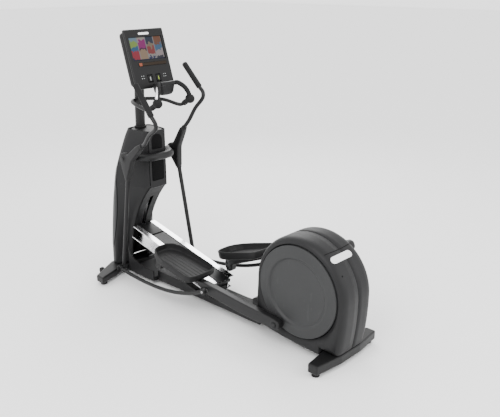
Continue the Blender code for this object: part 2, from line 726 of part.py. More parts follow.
def ramp(mats):
    """Two channels open outwards, the cover between them and the lift lug."""
    centre = (0, RAMP_PIVOT_Y, RAMP_PIVOT_Z)
    pieces = []
    for side, sign in SIDES.items():
        x0, x1 = span(sign, RAIL_WEB_X - RAIL_WALL, RAIL_OUTER_X)
        rail = plate(f"{side}_rail", ramp_outline(RAIL_HEIGHT, 0.0), x0, x1, mats["aluminium"])
        x0, x1 = span(sign, RAIL_WEB_X, RAIL_OUTER_X + 0.05)
        inside = ramp_outline(RAIL_HEIGHT - RAIL_WALL, RAIL_WALL)
        stretched = [(inside[0][0] - 0.1, inside[0][1] - 0.1 * 0.238),
                     (inside[1][0] + 0.1, inside[1][1] + 0.1 * 0.238),
                     (inside[2][0] + 0.1, inside[2][1] + 0.1 * 0.238),
                     (inside[3][0] - 0.1, inside[3][1] - 0.1 * 0.238)]
        boolean(rail, plate("channel", stretched, x0, x1))
        pieces.append(rail)
    half = RAIL_WEB_X - RAIL_WALL - GAP
    cover = plate("ramp_cover", ramp_outline(RAIL_HEIGHT - 0.002, 0.004), -half, half,
                  mats["panel_black"])
    lug_y, lug_z = lift_pin(0.0)
    lug = [(0.820, lug_z - 0.050), (lug_y + 0.012, lug_z - 0.014), (lug_y + 0.012, lug_z + 0.014),
           (0.800, lug_z + 0.020)]
    under = [(y, ramp_top(y) - drop) for y, drop in
             ((0.030, 0.014), (0.835, 0.014), (0.835, 0.20), (0.030, 0.20))]
    boolean(cover, plate("underside", under, -half + 0.005, half - 0.005))
    boolean(cover, plate("lug", lug, 0.0, 0.011), "UNION")
    boolean(cover, cylinder("shaft_bore", (-0.1, RAMP_PIVOT_Y, RAMP_PIVOT_Z),
                            (0.1, RAMP_PIVOT_Y, RAMP_PIVOT_Z), 0.0125, sides=20))
    pieces.append(cover)
    carry("ramp_tilt", centre, *pieces)


def rollers(mats):
    """Rollers in the channels, on short axles that stop beside the foot arms."""
    rest = {"left": 0.4400, "right": 0.1349}
    half_clear = RAIL_HEIGHT * cos(RAMP_SLOPE) / 2
    for side, sign in SIDES.items():
        y = rest[side]
        middle = (y, ramp_top(y) - RAIL_HEIGHT / 2)
        radius = half_clear - RAIL_WALL - 0.0012
        wheel = cylinder(f"{side}_roller", (sign * 0.0650, *middle), (sign * 0.0950, *middle),
                         radius, mats["rubber"], 24)
        boolean(wheel, cylinder("axle", (sign * 0.080, *middle), (sign * 0.1610, *middle), 0.009,
                                sides=16), "UNION")
        carry(f"{side}_roller_travel", (sign * 0.08, *middle), wheel)


# ---------------------------------------------------------------- moving handlebars

def swing_point(side, reach):
    """A neutral handlebar point about the hub, swung to where the side's arm stands."""
    return turned_point(reach, SWING[side], (HUB_Y, HUB_Z))


def swing_arms(mats):
    """Bracket casting, upper tube, grip and lower tube on each hub."""
    web = [(-0.170, 0.128), (-0.150, 0.152), (-0.128, 0.140), (-0.030, 0.036), (0.0, 0.042),
           (0.030, 0.030), (0.040, 0.0), (0.026, -0.036), (-0.020, -0.118), (-0.030, -0.138),
           (-0.056, -0.134), (-0.062, -0.100), (-0.086, 0.010)]
    for side, sign in SIDES.items():
        x0, x1 = span(sign, 0.187, 0.2305)
        outline = [swing_point(side, p) for p in web]
        bracket = plate(f"{side}_arm_bracket", outline, x0, x1, mats["frame_black"], 0.008)
        boolean(bracket, cylinder("bore", (sign * 0.17, HUB_Y, HUB_Z),
                                  (sign * 0.25, HUB_Y, HUB_Z), 0.0152, sides=24))
        upper = [(-0.1620, 0.1418, 0.208), (-0.180, 0.1568, 0.208), (-0.215, 0.193, 0.220), (-0.270, 0.267, 0.240),
                 (-0.330, 0.318, 0.254), (-0.349, 0.345, 0.258), (-0.343, 0.374, 0.263),
                 (-0.314, 0.4025, 0.268)]
        points = [(sign * x, *swing_point(side, (y, z))) for y, z, x in upper]
        tube = pipe(f"{side}_handle_tube", rounded_path(points, 2), 0.0135, mats["frame_black"],
                    3)
        low = Vector((sign * 0.2682, *swing_point(side, (-0.3130, 0.4040))))
        high = Vector((sign * 0.293, *swing_point(side, (-0.161, 0.576))))
        profile = [low + (high - low) * t for t in (0.0, 0.25, 0.5, 0.75, 0.93, 1.0)]
        grip = pipe(f"{side}_grip", profile, 0.0195, mats["rubber"], 3)
        bottom = SWING_ROD_PIVOT
        start = (sign * 0.209, *swing_point(side, (-0.0427, -0.1375)))
        end = (sign * 0.209, *swing_point(side, bottom))
        lower = pipe(f"{side}_lower_tube", [start, end], 0.0145, mats["frame_black"], 3)
        foot = swing_point(side, bottom)
        boolean(lower, cylinder("eye", (sign * 0.1935, *foot), (sign * 0.2260, *foot), 0.022,
                                sides=20), "UNION")
        boolean(lower, cylinder("stud", (sign * 0.215, *foot), (sign * 0.2640, *foot), 0.0095,
                                sides=20), "UNION")
        # the bracket ends in sockets that the tubes stand in
        carry(f"{side}_handlebar_swing", (sign * HUB_X, HUB_Y, HUB_Z), bracket, tube, grip,
              lower)
        rod(side, sign, foot, mats)


def rod(side, sign, front, mats):
    """The curved rod that joins the handlebar's foot to the foot arm."""
    rear = turned_point(ROD_PIVOT_ON_ARM, ARM_TILT[side], crank_pin(side))
    along = Vector((rear[0] - front[0], rear[1] - front[1]))
    length = along.length
    along.normalize()
    droop = Vector((along.y, -along.x)) if along.x > 0 else Vector((-along.y, along.x))
    stations = [(0.0, 0.0), (0.06, 0.010), (0.18, 0.032), (0.34, 0.054), (0.52, 0.066),
                (0.68, 0.062), (0.82, 0.044), (0.93, 0.018), (1.0, 0.0)]
    path = []
    for t, sag in stations:
        point = Vector(front) + along * length * t + droop * sag
        path.append((sign * ROD_X, point.x, point.y))
    bar = pipe(f"{side}_rod", rounded_path(path, 2), 0.0125, mats["frame_black"], 2)
    x0, x1 = span(sign, 0.2285, 0.2575)
    boolean(bar, cylinder("front_eye", (x0, *front), (x1, *front), 0.024, sides=24), "UNION")
    boolean(bar, cylinder("rear_eye", (x0, *rear), (x1, *rear), 0.020, sides=20), "UNION")
    boolean(bar, cylinder("stud", (sign * 0.2146, *rear), (sign * 0.240, *rear), 0.010,
                          sides=16), "UNION")
    boolean(bar, cylinder("bush_bore", (sign * 0.20, *front), (sign * 0.28, *front), 0.0160,
                          sides=24))
    bush = ring(f"{side}_rod_bush", (sign * ROD_X, *front), 0.0155, 0.0100, 0.0145,
                mats["steel"], 24)
    carry(f"{side}_rod_bush_turn", (sign * ROD_X, *front), bush)
    carry(f"{side}_rod_turn", (sign * ROD_X, *front), bar)


# ---------------------------------------------------------------- console and fixed bar

def console_frame():
    return Matrix.Translation((0, SCREEN_Y, SCREEN_Z)) @ Matrix.Rotation(-CONSOLE_LEAN, 4, "X")


def on_console(obj):
    obj.matrix_world = console_frame() @ Matrix.Translation(obj.location)
    return obj


def console(mats):
    back = on_console(box("console_back", (-0.158, 0.0125, -0.235), (0.158, 0.0620, 0.122),
                          mats["panel_black"], 0.020, 3))
    bezel = on_console(box("console_bezel", (-0.162, -0.0100, -0.262), (0.162, 0.0120, 0.130),
                           mats["panel_black"], 0.009, 3))
    boolean(bezel, on_console(box("opening", (-0.1345, -0.05, -0.0765), (0.1345, 0.05, 0.0765))))
    on_console(box("screen_panel", (-0.1330, -0.0020, -0.0750), (0.1330, 0.0115, 0.0750),
                   mats["screen_glass"], 0.001, 1))
    for side, sign in SIDES.items():
        x = sign * 0.034
        boolean(bezel, on_console(box("well", (x - 0.0205, -0.05, -0.225),
                                      (x + 0.0205, 0.05, -0.173))))
        lever = on_console(box(f"{side}_paddle", (x - 0.0160, -0.0120, -0.2200),
                               (x + 0.0160, 0.0020, -0.1780), mats["rubber"], 0.003))
        axis = console_frame() @ Vector((x, 0.0, -0.199))
        carry(f"{side}_paddle_press", axis, lever)
    return back


HANDLEBAR_HALF = [(0.0, 0.8222, 1.290), (0.042, 0.8222, 1.290), (0.075, 0.800, 1.290),
                  (0.108, 0.755, 1.290), (0.130, 0.690, 1.284), (0.138, 0.600, 1.271),
                  (0.139, 0.553, 1.271), (0.138, 0.512, 1.288)]
BULB = (0.138, 0.457, 1.322)
BAR_CORNER = (0.0605, 0.517, 1.430)


def handlebar_path():
    return rounded_path(mirror_x(HANDLEBAR_HALF[:0:-1], -1) + HANDLEBAR_HALF, 2)


def fixed_handlebar(mats):
    """A loop through the mast with a bulb and a pulse grip at each of its two ends."""
    path = handlebar_path()
    bar = pipe("fixed_handlebar", path, 0.0125, mats["frame_black"])
    for side, sign in SIDES.items():
        x, y, z = BULB
        bulb = ball(f"{side}_fixed_grip", (sign * x, y, z), (0.029, 0.036, 0.031),
                    mats["rubber"])
        boolean(bulb, pipe("socket_space", path, 0.0130))
        upper = [(sign * x, y, z), (sign * 0.132, 0.462, 1.360), (sign * 0.112, 0.478, 1.400),
                 (sign * 0.088, 0.506, 1.426), (sign * 0.075, 0.515, 1.430),
                 (sign * 0.0632, 0.517, 1.4300)]
        boolean(bulb, pipe("grip", rounded_path(upper, 2), 0.0155), "UNION")
    return bar


def ball(name, centre, size, finish):
    mesh = bpy.data.meshes.new(name)
    sphere = bmesh.new()
    bmesh.ops.create_uvsphere(sphere, u_segments=16, v_segments=10, radius=1.0)
    bmesh.ops.scale(sphere, vec=size, verts=sphere.verts)
    sphere.to_mesh(mesh)
    sphere.free()
    obj = bpy.data.objects.new(name, mesh)
    obj.location = centre
    return smooth(place(obj, name, finish), 60)


def accessory_tray(mats):
    """A shallow bowl under the console whose front rim is a round bar."""
    tray = box("accessory_tray", (-0.058, 0.508, 1.352), (0.058, 0.606, 1.426),
               mats["panel_black"], 0.016, 3)
    boolean(tray, box("pocket", (-0.051, 0.534, 1.362), (0.051, 0.598, 1.480)))
    x, y, z = BAR_CORNER
    boolean(tray, cylinder("rim", (-x, y, z), (x, y, z), 0.0155,
                           sides=16), "UNION")


def build():
    clear_scene()
    mats = finishes()
    base_spine(mats)
    stabilizers(mats)
    levelling_feet(mats)
    transport_wheels(mats)
    tower_shells(mats)
    tower_rear_panel(mats)
    tower_inside(mats)
    lift_nut(mats)
    base_shroud(mats)
    tower_top_cap(mats)
    mast(mats)
    crossbar(mats)
    drive_shrouds(mats)
    crank(mats)
    flywheel(mats)
    drive_belt(mats)
    foot_arms(mats)
    ramp(mats)
    rollers(mats)
    swing_arms(mats)
    console(mats)
    fixed_handlebar(mats)
    accessory_tray(mats)


build()
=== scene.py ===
"""Looks of the elliptical trainer: smooth skins, tubes, castings, grips and finishes.

Metres, in the machine's own frame: +Y is the way the user faces, +X the user's right.
Side outlines are lists of (y, z); every shape is a grid of points worked out with numpy.
"""
import json
from math import atan, cos, pi, radians, sin

import bmesh
import bpy
import numpy as np
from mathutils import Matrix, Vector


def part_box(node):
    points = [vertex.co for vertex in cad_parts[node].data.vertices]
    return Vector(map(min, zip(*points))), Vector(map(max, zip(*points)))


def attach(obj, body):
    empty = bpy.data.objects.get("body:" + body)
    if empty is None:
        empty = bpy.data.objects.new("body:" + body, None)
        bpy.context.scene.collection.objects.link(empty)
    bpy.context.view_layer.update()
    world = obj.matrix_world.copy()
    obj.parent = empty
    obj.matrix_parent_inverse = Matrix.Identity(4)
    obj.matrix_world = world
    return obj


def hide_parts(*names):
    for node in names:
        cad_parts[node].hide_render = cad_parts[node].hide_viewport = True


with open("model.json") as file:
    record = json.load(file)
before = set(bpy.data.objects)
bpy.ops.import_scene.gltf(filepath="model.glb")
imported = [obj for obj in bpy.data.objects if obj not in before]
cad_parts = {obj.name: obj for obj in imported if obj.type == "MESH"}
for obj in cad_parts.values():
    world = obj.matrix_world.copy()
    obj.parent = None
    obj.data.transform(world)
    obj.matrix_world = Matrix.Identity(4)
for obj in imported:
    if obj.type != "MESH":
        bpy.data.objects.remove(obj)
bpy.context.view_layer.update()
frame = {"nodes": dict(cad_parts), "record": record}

bl_info = {
    "name": "Elliptical Trainer",
    "version": (1, 0, 0),
    "blender": (4, 5, 0),
    "location": "View3D > Sidebar > Trainer",
    "description": "Builds the finished pieces of an elliptical trainer on its frame",
    "category": "Object",
}

SIDES = {"left": -1, "right": 1}
CRANK = (-0.724, 0.389)
PIN = {"left": (-0.61704, 0.16969), "right": (-0.83096, 0.60831)}
ARM_TILT = {"left": 0.0509, "right": -0.4214}
ROLLER_DROP = 0.0475              # roller's centre below the rails' top edge
PEDAL_X = 0.177
PEDAL_START = (0.640, 0.066)      # heel of the tray's floor, from the crank pin along the arm
PEDAL_PITCH = radians(7.0)
ROD_PIVOT_ON_ARM = (0.5711, 0.0063)
HUB = (0.740, 0.926)
SWING = {"left": 0.182, "right": -0.1736}
ROD_X = 0.243
SWING_FOOT = (-0.0588, -0.829)
RAMP_PIVOT = (0.060, 0.115)
RAMP_SLOPE = atan(0.238)
TOWER_ARC = 0.840
PANEL_Y, PANEL_LOW = 0.655, 0.700
SCREEN = (0.717, 1.640)
CONSOLE_LEAN = 0.304


# ------------------------------------------------------------------ settings

def colour_prop(name, description, default):
    return bpy.props.FloatVectorProperty(name=name, description=description, default=default,
                                         subtype="COLOR", size=3, min=0.0, max=1.0)


def length_prop(name, description, default):
    return bpy.props.FloatProperty(name=name, description=description, default=default,
                                   subtype="DISTANCE", unit="LENGTH")


class TrainerColours(bpy.types.PropertyGroup):
    """Colours of the finishes."""
    shell: colour_prop("Shell", "Moulded skins of tower and drum", (0.0085, 0.0085, 0.0090))
    accent: colour_prop("Accent", "Light panels on the tower", (0.026, 0.0265, 0.0275))
    disc: colour_prop("Disc", "Crank discs", (0.026, 0.0265, 0.027))
    coat: colour_prop("Powder coat", "Steel tubes and castings", (0.0060, 0.0060, 0.0063))
    trim: colour_prop("Trim", "Console and covers", (0.0050, 0.0050, 0.0053))
    rubber: colour_prop("Rubber", "Grips and feet", (0.0050, 0.0050, 0.0053))
    pedal: colour_prop("Pedal", "Pedal trays", (0.0070, 0.0070, 0.0073))
    metal: colour_prop("Rails", "Anodised rails", (0.86, 0.86, 0.87))
    steel: colour_prop("Steel", "Pins and bushes", (0.56, 0.56, 0.57))
    badge: colour_prop("Badge", "Blank badges", (0.78, 0.78, 0.78))
    strip: colour_prop("Strip", "Bar under the screen", (0.030, 0.023, 0.018))
    spark: colour_prop("Spark", "Warm end of the bar under the screen", (0.17, 0.040, 0.016))


class TrainerSizes(bpy.types.PropertyGroup):
    """Sizes of the parts a maker would tune."""
    tube: length_prop("Tube radius", "Radius of the handle tubes", 0.0135)
    lower_tube: length_prop("Lower tube radius", "Radius of the long lower tubes", 0.0145)
    grip: length_prop("Grip radius", "Radius of the foam grips", 0.0195)
    rod: length_prop("Rod radius", "Radius of the curved rods", 0.0125)
    grip_ring: length_prop("Grip ring pitch", "Distance between rings on the grips", 0.0060)
    skin: length_prop("Skin thickness", "Wall of the moulded skins", 0.0035)
    panel_gap: length_prop("Panel gap", "Gap between two skins", 0.0007)
    pedal_ribs: bpy.props.IntProperty(name="Pedal ribs", default=6, min=1,
                                      description="Ribs on each pedal's floor")


class TrainerStage(bpy.types.PropertyGroup):
    """Camera, floor and lights."""
    lens: bpy.props.FloatProperty(name="Lens", default=49.287, unit="CAMERA",
                                  description="Focal length in millimetres")
    camera_at: bpy.props.FloatVectorProperty(name="Camera", subtype="TRANSLATION", size=3,
                                             description="Place of the camera",
                                             default=(-2.89214, -2.95958, 2.10262))
    camera_turn: bpy.props.FloatVectorProperty(name="Camera turn", subtype="EULER", size=3,
                                               description="Pitch, roll and heading",
                                               default=(radians(71.131), 0.0,
                                                        radians(-46.5955)))
    floor_size: length_prop("Floor size", "Half the width of the pale floor", 40.0)
    world_level: bpy.props.FloatProperty(name="Surround", default=2.2,
                                         description="Brightness of the white surround")


# ------------------------------------------------------------------ shader nodes

class Value:
    """One number from a node; arithmetic on it adds Math nodes."""

    def __init__(self, finish, socket):
        self.finish, self.socket = finish, socket

    def _math(self, operation, first, second):
        node = self.finish.node("ShaderNodeMath", {"operation": operation},
                                {0: first, 1: second})
        return Value(self.finish, node.outputs[0])

    def __add__(self, other):
        return self._math("ADD", self, other)

    def __sub__(self, other):
        return self._math("SUBTRACT", self, other)

    def __rsub__(self, other):
        return self._math("SUBTRACT", other, self)

    def __mul__(self, other):
        return self._math("MULTIPLY", self, other)

    def __truediv__(self, other):
        return self._math("DIVIDE", self, other)

    def __gt__(self, other):
        return self._math("GREATER_THAN", self, other)

    def __lt__(self, other):
        return self._math("LESS_THAN", self, other)

    def __mod__(self, other):
        return self._math("FLOORED_MODULO", self, other)

    __radd__ = __add__
    __rmul__ = __mul__

    def clipped(self):
        node = self.finish.node("ShaderNodeClamp", {}, {0: self})
        return Value(self.finish, node.outputs[0])


class Finish:
    """A material and its nodes."""

    def __init__(self, name):
        self.material = bpy.data.materials.new(name)
        self.material.use_nodes = True
        self.tree = self.material.node_tree
        self.shader = self.tree.nodes["Principled BSDF"]

    def node(self, kind, settings, values):
        made = self.tree.nodes.new(kind)
        for name, value in settings.items():
            if name == "stops":
                ramp = made.color_ramp
                ramp.interpolation = "CONSTANT"
                while len(ramp.elements) < len(value):
                    ramp.elements.new(1.0)
                for element, (at, colour) in zip(ramp.elements, value):
                    element.position = at
                    element.color = (*colour, 1.0)
            else:
                setattr(made, name, value)
        for key, value in values.items():
            if isinstance(value, Value):
                self.tree.links.new(value.socket, made.inputs[key])
            elif isinstance(value, bpy.types.NodeSocket):
                self.tree.links.new(value, made.inputs[key])
            else:
                made.inputs[key].default_value = value
        return made

    def place(self, stretch=(1, 1, 1), turn=(0, 0, 0)):
        """Object coordinates, turned and stretched."""
        where = self.node("ShaderNodeTexCoord", {}, {})
        return self.node("ShaderNodeMapping", {}, {"Vector": where.outputs["Object"],
                                                   "Scale": stretch,
                                                   "Rotation": turn}).outputs[0]

    def noise(self, scale, detail=2.0, stretch=(1, 1, 1), rough=0.5):
        made = self.node("ShaderNodeTexNoise", {}, {"Vector": self.place(stretch),
                                                    "Scale": scale, "Detail": detail,
                                                    "Roughness": rough})
        return Value(self, made.outputs[0])

    def cells(self, scale, stretch=(1, 1, 1)):
        made = self.node("ShaderNodeTexVoronoi", {}, {"Vector": self.place(stretch),
                                                      "Scale": scale})
        return Value(self, made.outputs[0])

    def mix(self, factor, first, second):
        """Colour that goes from the first to the second as factor goes from 0 to 1."""
        first = (*first, 1.0) if isinstance(first, tuple) else first
        second = (*second, 1.0) if isinstance(second, tuple) else second
        made = self.node("ShaderNodeMix", {"data_type": "RGBA"}, {0: factor, 6: first,
                                                                   7: second})
        return made.outputs[2]

    def set(self, **values):
        """Set or link the shader's own sockets by name, underscores for spaces."""
        for name, value in values.items():
            socket = self.shader.inputs[name.replace("_", " ")]
            if isinstance(value, Value):
                self.tree.links.new(value.socket, socket)
            elif isinstance(value, bpy.types.NodeSocket):
                self.tree.links.new(value, socket)
            else:
                socket.default_value = value
        return self

    def bump(self, height, distance, strength=1.0):
        made = self.node("ShaderNodeBump", {}, {"Height": height, "Distance": distance,
                                                "Strength": strength})
        return self.set(Normal=made.outputs[0])


def shade(colour, factor):
    return tuple(min(1.0, c * factor) for c in colour)


def moulded(name, colour, roughness, grain=0.00008, fleck=1.12):
    """Moulded plastic: fine cell grain, slow mottling and faint handling marks."""
    made = Finish(name)
    mottle = made.noise(7.0, 3.0)
    marks = made.noise(60.0, 4.0, (1, 1, 0.25))
    body = made.mix(mottle, shade(colour, 0.86), shade(colour, 1.14))
    base = made.mix((marks > 0.66) * 0.35, body, shade(colour, fleck * 1.4))
    cells = made.cells(1400.0)
    made.set(Base_Color=base, Roughness=mottle * 0.10 + marks * 0.08 + (roughness - 0.09))
    made.shader.inputs["Specular IOR Level"].default_value = 0.20
    return made.bump(cells, grain, 0.55)


def powder_coat(name, colour, roughness=0.42):
    """Powder coat on steel: orange peel, tiny pits and a slight sheen change."""
    made = Finish(name)
    peel = made.noise(520.0, 2.0)
    slow = made.noise(11.0, 2.0)
    base = made.mix(slow, shade(colour, 0.82), shade(colour, 1.22))
    made.set(Base_Color=base, Roughness=slow * 0.12 + (roughness - 0.06))
    made.shader.inputs["Specular IOR Level"].default_value = 0.24
    return made.bump(peel, 0.00012, 0.5)


def brushed(name, colour, roughness, stretch):
    """Brushed or drawn metal: long fine scratches along one direction."""
    made = Finish(name)
    lines = made.noise(900.0, 3.0, stretch, 0.65)
    smear = made.noise(9.0, 2.0)
    base = made.mix(lines, shade(colour, 0.90), shade(colour, 1.05))
    made.set(Base_Color=base, Metallic=1.0, Roughness=lines * 0.10 + smear * 0.08 + roughness)
    return made.bump(lines, 0.00003, 0.35)


def foam(name, colour):
    """Soft rubber: open pores and a dry, slightly dusty surface."""
    made = Finish(name)
    pores = made.cells(2200.0)
    dust = made.noise(38.0, 4.0)
    base = made.mix((dust - 0.45).clipped() * 1.2, colour, shade(colour, 2.2))
    made.set(Base_Color=base, Roughness=dust * 0.16 + 0.60)
    made.shader.inputs["Specular IOR Level"].default_value = 0.20
    return made.bump(pores, 0.00018, 0.8)


def plain_panel(name, colour, roughness, grain=0.00004, gloss=0.3):
    """Smooth painted or printed face with a faint grain."""
    made = Finish(name)
    soft = made.noise(130.0, 3.0)
    made.set(Base_Color=made.mix(soft, shade(colour, 0.93), shade(colour, 1.06)),
             Roughness=soft * 0.08 + (roughness - 0.04))
    made.shader.inputs["Specular IOR Level"].default_value = gloss
    return made.bump(soft, grain, 0.4)


def screen_finish():
    """A lit screen of four tiles: bands of colour up each tile with wavering edges."""
    made = Finish("screen_picture")
    uv = made.node("ShaderNodeUVMap", {"uv_map": "face"}, {}).outputs[0]
    split = made.node("ShaderNodeSeparateXYZ", {}, {0: uv})
    across, up = Value(made, split.outputs[0]), Value(made, split.outputs[1])
    tile = (across + 0.1330) / 0.0665
    waver = Value(made, made.node("ShaderNodeTexNoise", {}, {"Vector": uv, "Scale": 38.0,
                                                             "Detail": 2.0}).outputs[0])
    height = ((up + 0.0750) / 0.150 + (waver - 0.5) * 0.55).clipped()
    columns = (((0.0, (0.02, 0.02, 0.10)), (0.10, (0.60, 0.04, 0.07)), (0.42, (0.04, 0.20, 0.42)),
                (0.60, (0.42, 0.62, 0.12)), (0.84, (0.30, 0.46, 0.60))),
               ((0.0, (0.55, 0.38, 0.24)), (0.44, (0.08, 0.01, 0.05)), (0.54, (0.50, 0.02, 0.28)),
                (0.88, (0.60, 0.52, 0.46))),
               ((0.0, (0.03, 0.04, 0.16)), (0.14, (0.55, 0.50, 0.46)), (0.24, (0.45, 0.07, 0.06)),
                (0.56, (0.42, 0.31, 0.20)), (0.70, (0.03, 0.05, 0.09))),
               ((0.0, (0.05, 0.05, 0.07)), (0.14, (0.60, 0.50, 0.50)), (0.42, (0.10, 0.24, 0.42)),
                (0.66, (0.32, 0.12, 0.05))))
    picture = None
    for index, stops in enumerate(columns):
        ramp = made.node("ShaderNodeValToRGB", {"stops": stops}, {0: height}).outputs[0]
        picture = ramp if picture is None else made.mix(tile > float(index), picture, ramp)
    inside = tile % 1.0
    line = ((inside < 0.045) + (inside > 0.955)).clipped()
    picture = made.mix(line, picture, (0.45, 0.45, 0.46))
    picture = made.mix(up < -0.068, picture, (0.010, 0.012, 0.050))
    made.set(Base_Color=(0.01, 0.01, 0.012, 1.0), Emission_Color=picture, Roughness=0.30)
    made.shader.inputs["Emission Strength"].default_value = 0.45
    made.shader.inputs["Specular IOR Level"].default_value = 0.08
    return made


FINISHES = {}


def finishes():
    """Every finish by the name of the slot or the extra piece that wears it."""
    if FINISHES:
        return FINISHES
    hue = bpy.context.scene.trainer_colours
    picked = {name: tuple(getattr(hue, name)) for name in
              ("shell", "accent", "disc", "coat", "trim", "rubber", "pedal", "metal", "steel",
               "badge", "strip", "spark")}
    FINISHES.update({
        "shell_grey": moulded("shell_plastic", picked["shell"], 0.50),
        "accent": moulded("accent_plastic", picked["accent"], 0.46),
        "disc_grey": moulded("disc_plastic", picked["disc"], 0.54),
        "panel_black": moulded("trim_plastic", picked["trim"], 0.40, 0.00005),
        "pedal_black": moulded("pedal_plastic", picked["pedal"], 0.56, 0.00014),
        "frame_black": powder_coat("powder_coat", picked["coat"]),
        "casting_black": powder_coat("cast_coat", shade(picked["coat"], 1.25), 0.48),
        "rubber": foam("grip_foam", picked["rubber"]),
        "aluminium": brushed("anodised_rail", picked["metal"], 0.16, (1.0, 0.012, 1.0)),
        "steel": brushed("turned_steel", picked["steel"], 0.24, (0.05, 1.0, 1.0)),
        "sensor": brushed("sensor_steel", (0.90, 0.90, 0.91), 0.12, (1.0, 1.0, 0.05)),
        "cast_iron": brushed("cast_iron", (0.12, 0.12, 0.125), 0.50, (1.0, 1.0, 1.0)),
        "window": plain_panel("smoked_window", (0.0012, 0.0012, 0.0014), 0.50, gloss=0.06),
        # Near-black for grooves, seams and panel lines, and for the painted shadow blocks in the
        # rails' upper ends.
        "groove": plain_panel("joint_and_shadow_black", (0.0010, 0.0010, 0.0010), 0.80, gloss=0.03),
        "badge": plain_panel("badge_white", picked["badge"], 0.35),
        "strip": brushed("bronze_strip", picked["strip"], 0.34, (0.02, 1.0, 1.0)),
        "spark": plain_panel("warm_end", picked["spark"], 0.35),
        "mark": plain_panel("key_marks", (0.34, 0.35, 0.35), 0.45),
        "lime": plain_panel("lever_lime", (0.26, 0.36, 0.03), 0.40),
        "floor": plain_panel("pale_floor", (0.90, 0.90, 0.90), 0.75),
        "screen_glass": screen_finish(),
    })
    return FINISHES


# ------------------------------------------------------------------ shapes

def through(points, closed=False, steps=20):
    """Catmull-Rom curve: each stretch is a cubic set by its two ends and their neighbours."""
    p = np.asarray(points, float)
    if closed:
        a, b, c, d = np.roll(p, 1, 0), p, np.roll(p, -1, 0), np.roll(p, -2, 0)
    else:
        run = np.vstack([2 * p[:1] - p[1:2], p, 2 * p[-1:] - p[-2:-1]])
        a, b, c, d = run[:-3], run[1:-2], run[2:-1], run[3:]
    t = np.linspace(0, 1, steps, endpoint=False)[None, :, None]
    a, b, c, d = (v[:, None, :] for v in (a, b, c, d))
    curve = 0.5 * (2 * b + (c - a) * t + (2 * a - 5 * b + 4 * c - d) * t ** 2
                   + (3 * b - a - 3 * c + d) * t ** 3)
    curve = curve.reshape(-1, p.shape[1])
    return curve if closed else np.vstack([curve, p[-1:]])


def cornered(outline, radius, steps=6):
    """The outline with each corner swapped for a parabola that starts a radius before it."""
    p = np.asarray(outline, float)
    back, ahead = np.roll(p, 1, 0) - p, np.roll(p, -1, 0) - p
    length_back = np.linalg.norm(back, axis=1, keepdims=True)
    length_ahead = np.linalg.norm(ahead, axis=1, keepdims=True)
    start = p + back / length_back * np.minimum(radius, 0.46 * length_back)
    end = p + ahead / length_ahead * np.minimum(radius, 0.46 * length_ahead)
    t = np.linspace(0, 1, steps)[None, :, None]
    curve = (start[:, None] * (1 - t) ** 2 + p[:, None] * 2 * t * (1 - t) + end[:, None] * t ** 2)
    return curve.reshape(-1, 2)


def box_outline(a0, a1, b0, b1, radius):
    return cornered([(a0, b0), (a1, b0), (a1, b1), (a0, b1)], radius)


def ring_faces(rows, columns, around):
    i, j = np.meshgrid(np.arange(rows - 1), np.arange(columns if around else columns - 1),
                       indexing="ij")
    k = (j + 1) % columns
    quads = np.stack([i * columns + j, i * columns + k, (i + 1) * columns + k,
                      (i + 1) * columns + j], -1).reshape(-1, 4)
    return quads.tolist()


class Shape:
    """Points, faces and face coordinates of one closed or open surface."""

    def __init__(self, grid, around=True, ends=True, face=None):
        rows, columns = grid.shape[:2]
        self.points = grid.reshape(-1, 3)
        self.faces = ring_faces(rows, columns, around)
        if ends:
            self.faces.append(list(range(columns)))
            self.faces.append(list(range((rows - 1) * columns, rows * columns))[::-1])
        self.face = np.zeros((rows * columns, 2)) if face is None else face.reshape(-1, 2)
        self.closed = ends and around


def piece(name, shapes, finish, body, stands_for=(), wall=0.0, sharp=38):
    """One mesh object from shapes, finished, riding on a body."""
    shapes = shapes if isinstance(shapes, list) else [shapes]
    points, faces, face_at, start = [], [], [], 0
    for shape in shapes:
        points.append(shape.points)
        face_at.append(shape.face)
        faces += [[v + start for v in polygon] for polygon in shape.faces]
        start += len(shape.points)
    points, face_at = np.vstack(points), np.vstack(face_at)
    mesh = bpy.data.meshes.new(name)
    mesh.from_pydata(points.tolist(), [], faces)
    work = bmesh.new()
    work.from_mesh(mesh)
    if all(shape.closed for shape in shapes):
        bmesh.ops.recalc_face_normals(work, faces=work.faces)
    else:
        work.normal_update()
        middle = points.mean(axis=0)
        facing = sum((np.array(f.calc_center_median()) - middle) @ np.array(f.normal)
                     * f.calc_area() for f in work.faces)
        if facing < 0:
            bmesh.ops.reverse_faces(work, faces=work.faces)
    work.to_mesh(mesh)
    work.free()
    corner = np.empty(len(mesh.loops), dtype=np.int64)
    mesh.loops.foreach_get("vertex_index", corner)
    layer = mesh.uv_layers.new(name="face")
    layer.data.foreach_set("uv", face_at[corner].astype(np.float32).ravel())
    mesh.shade_smooth()
    mesh.set_sharp_from_angle(angle=radians(sharp))
    mesh.materials.append(finishes()[finish].material)
    obj = bpy.data.objects.new(name, mesh)
    bpy.context.scene.collection.objects.link(obj)
    if wall:
        made = obj.modifiers.new("wall", "SOLIDIFY")
        made.thickness = wall
        made.offset = -1.0
    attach(obj, body)
    if stands_for:
        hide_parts(*stands_for)
    return obj


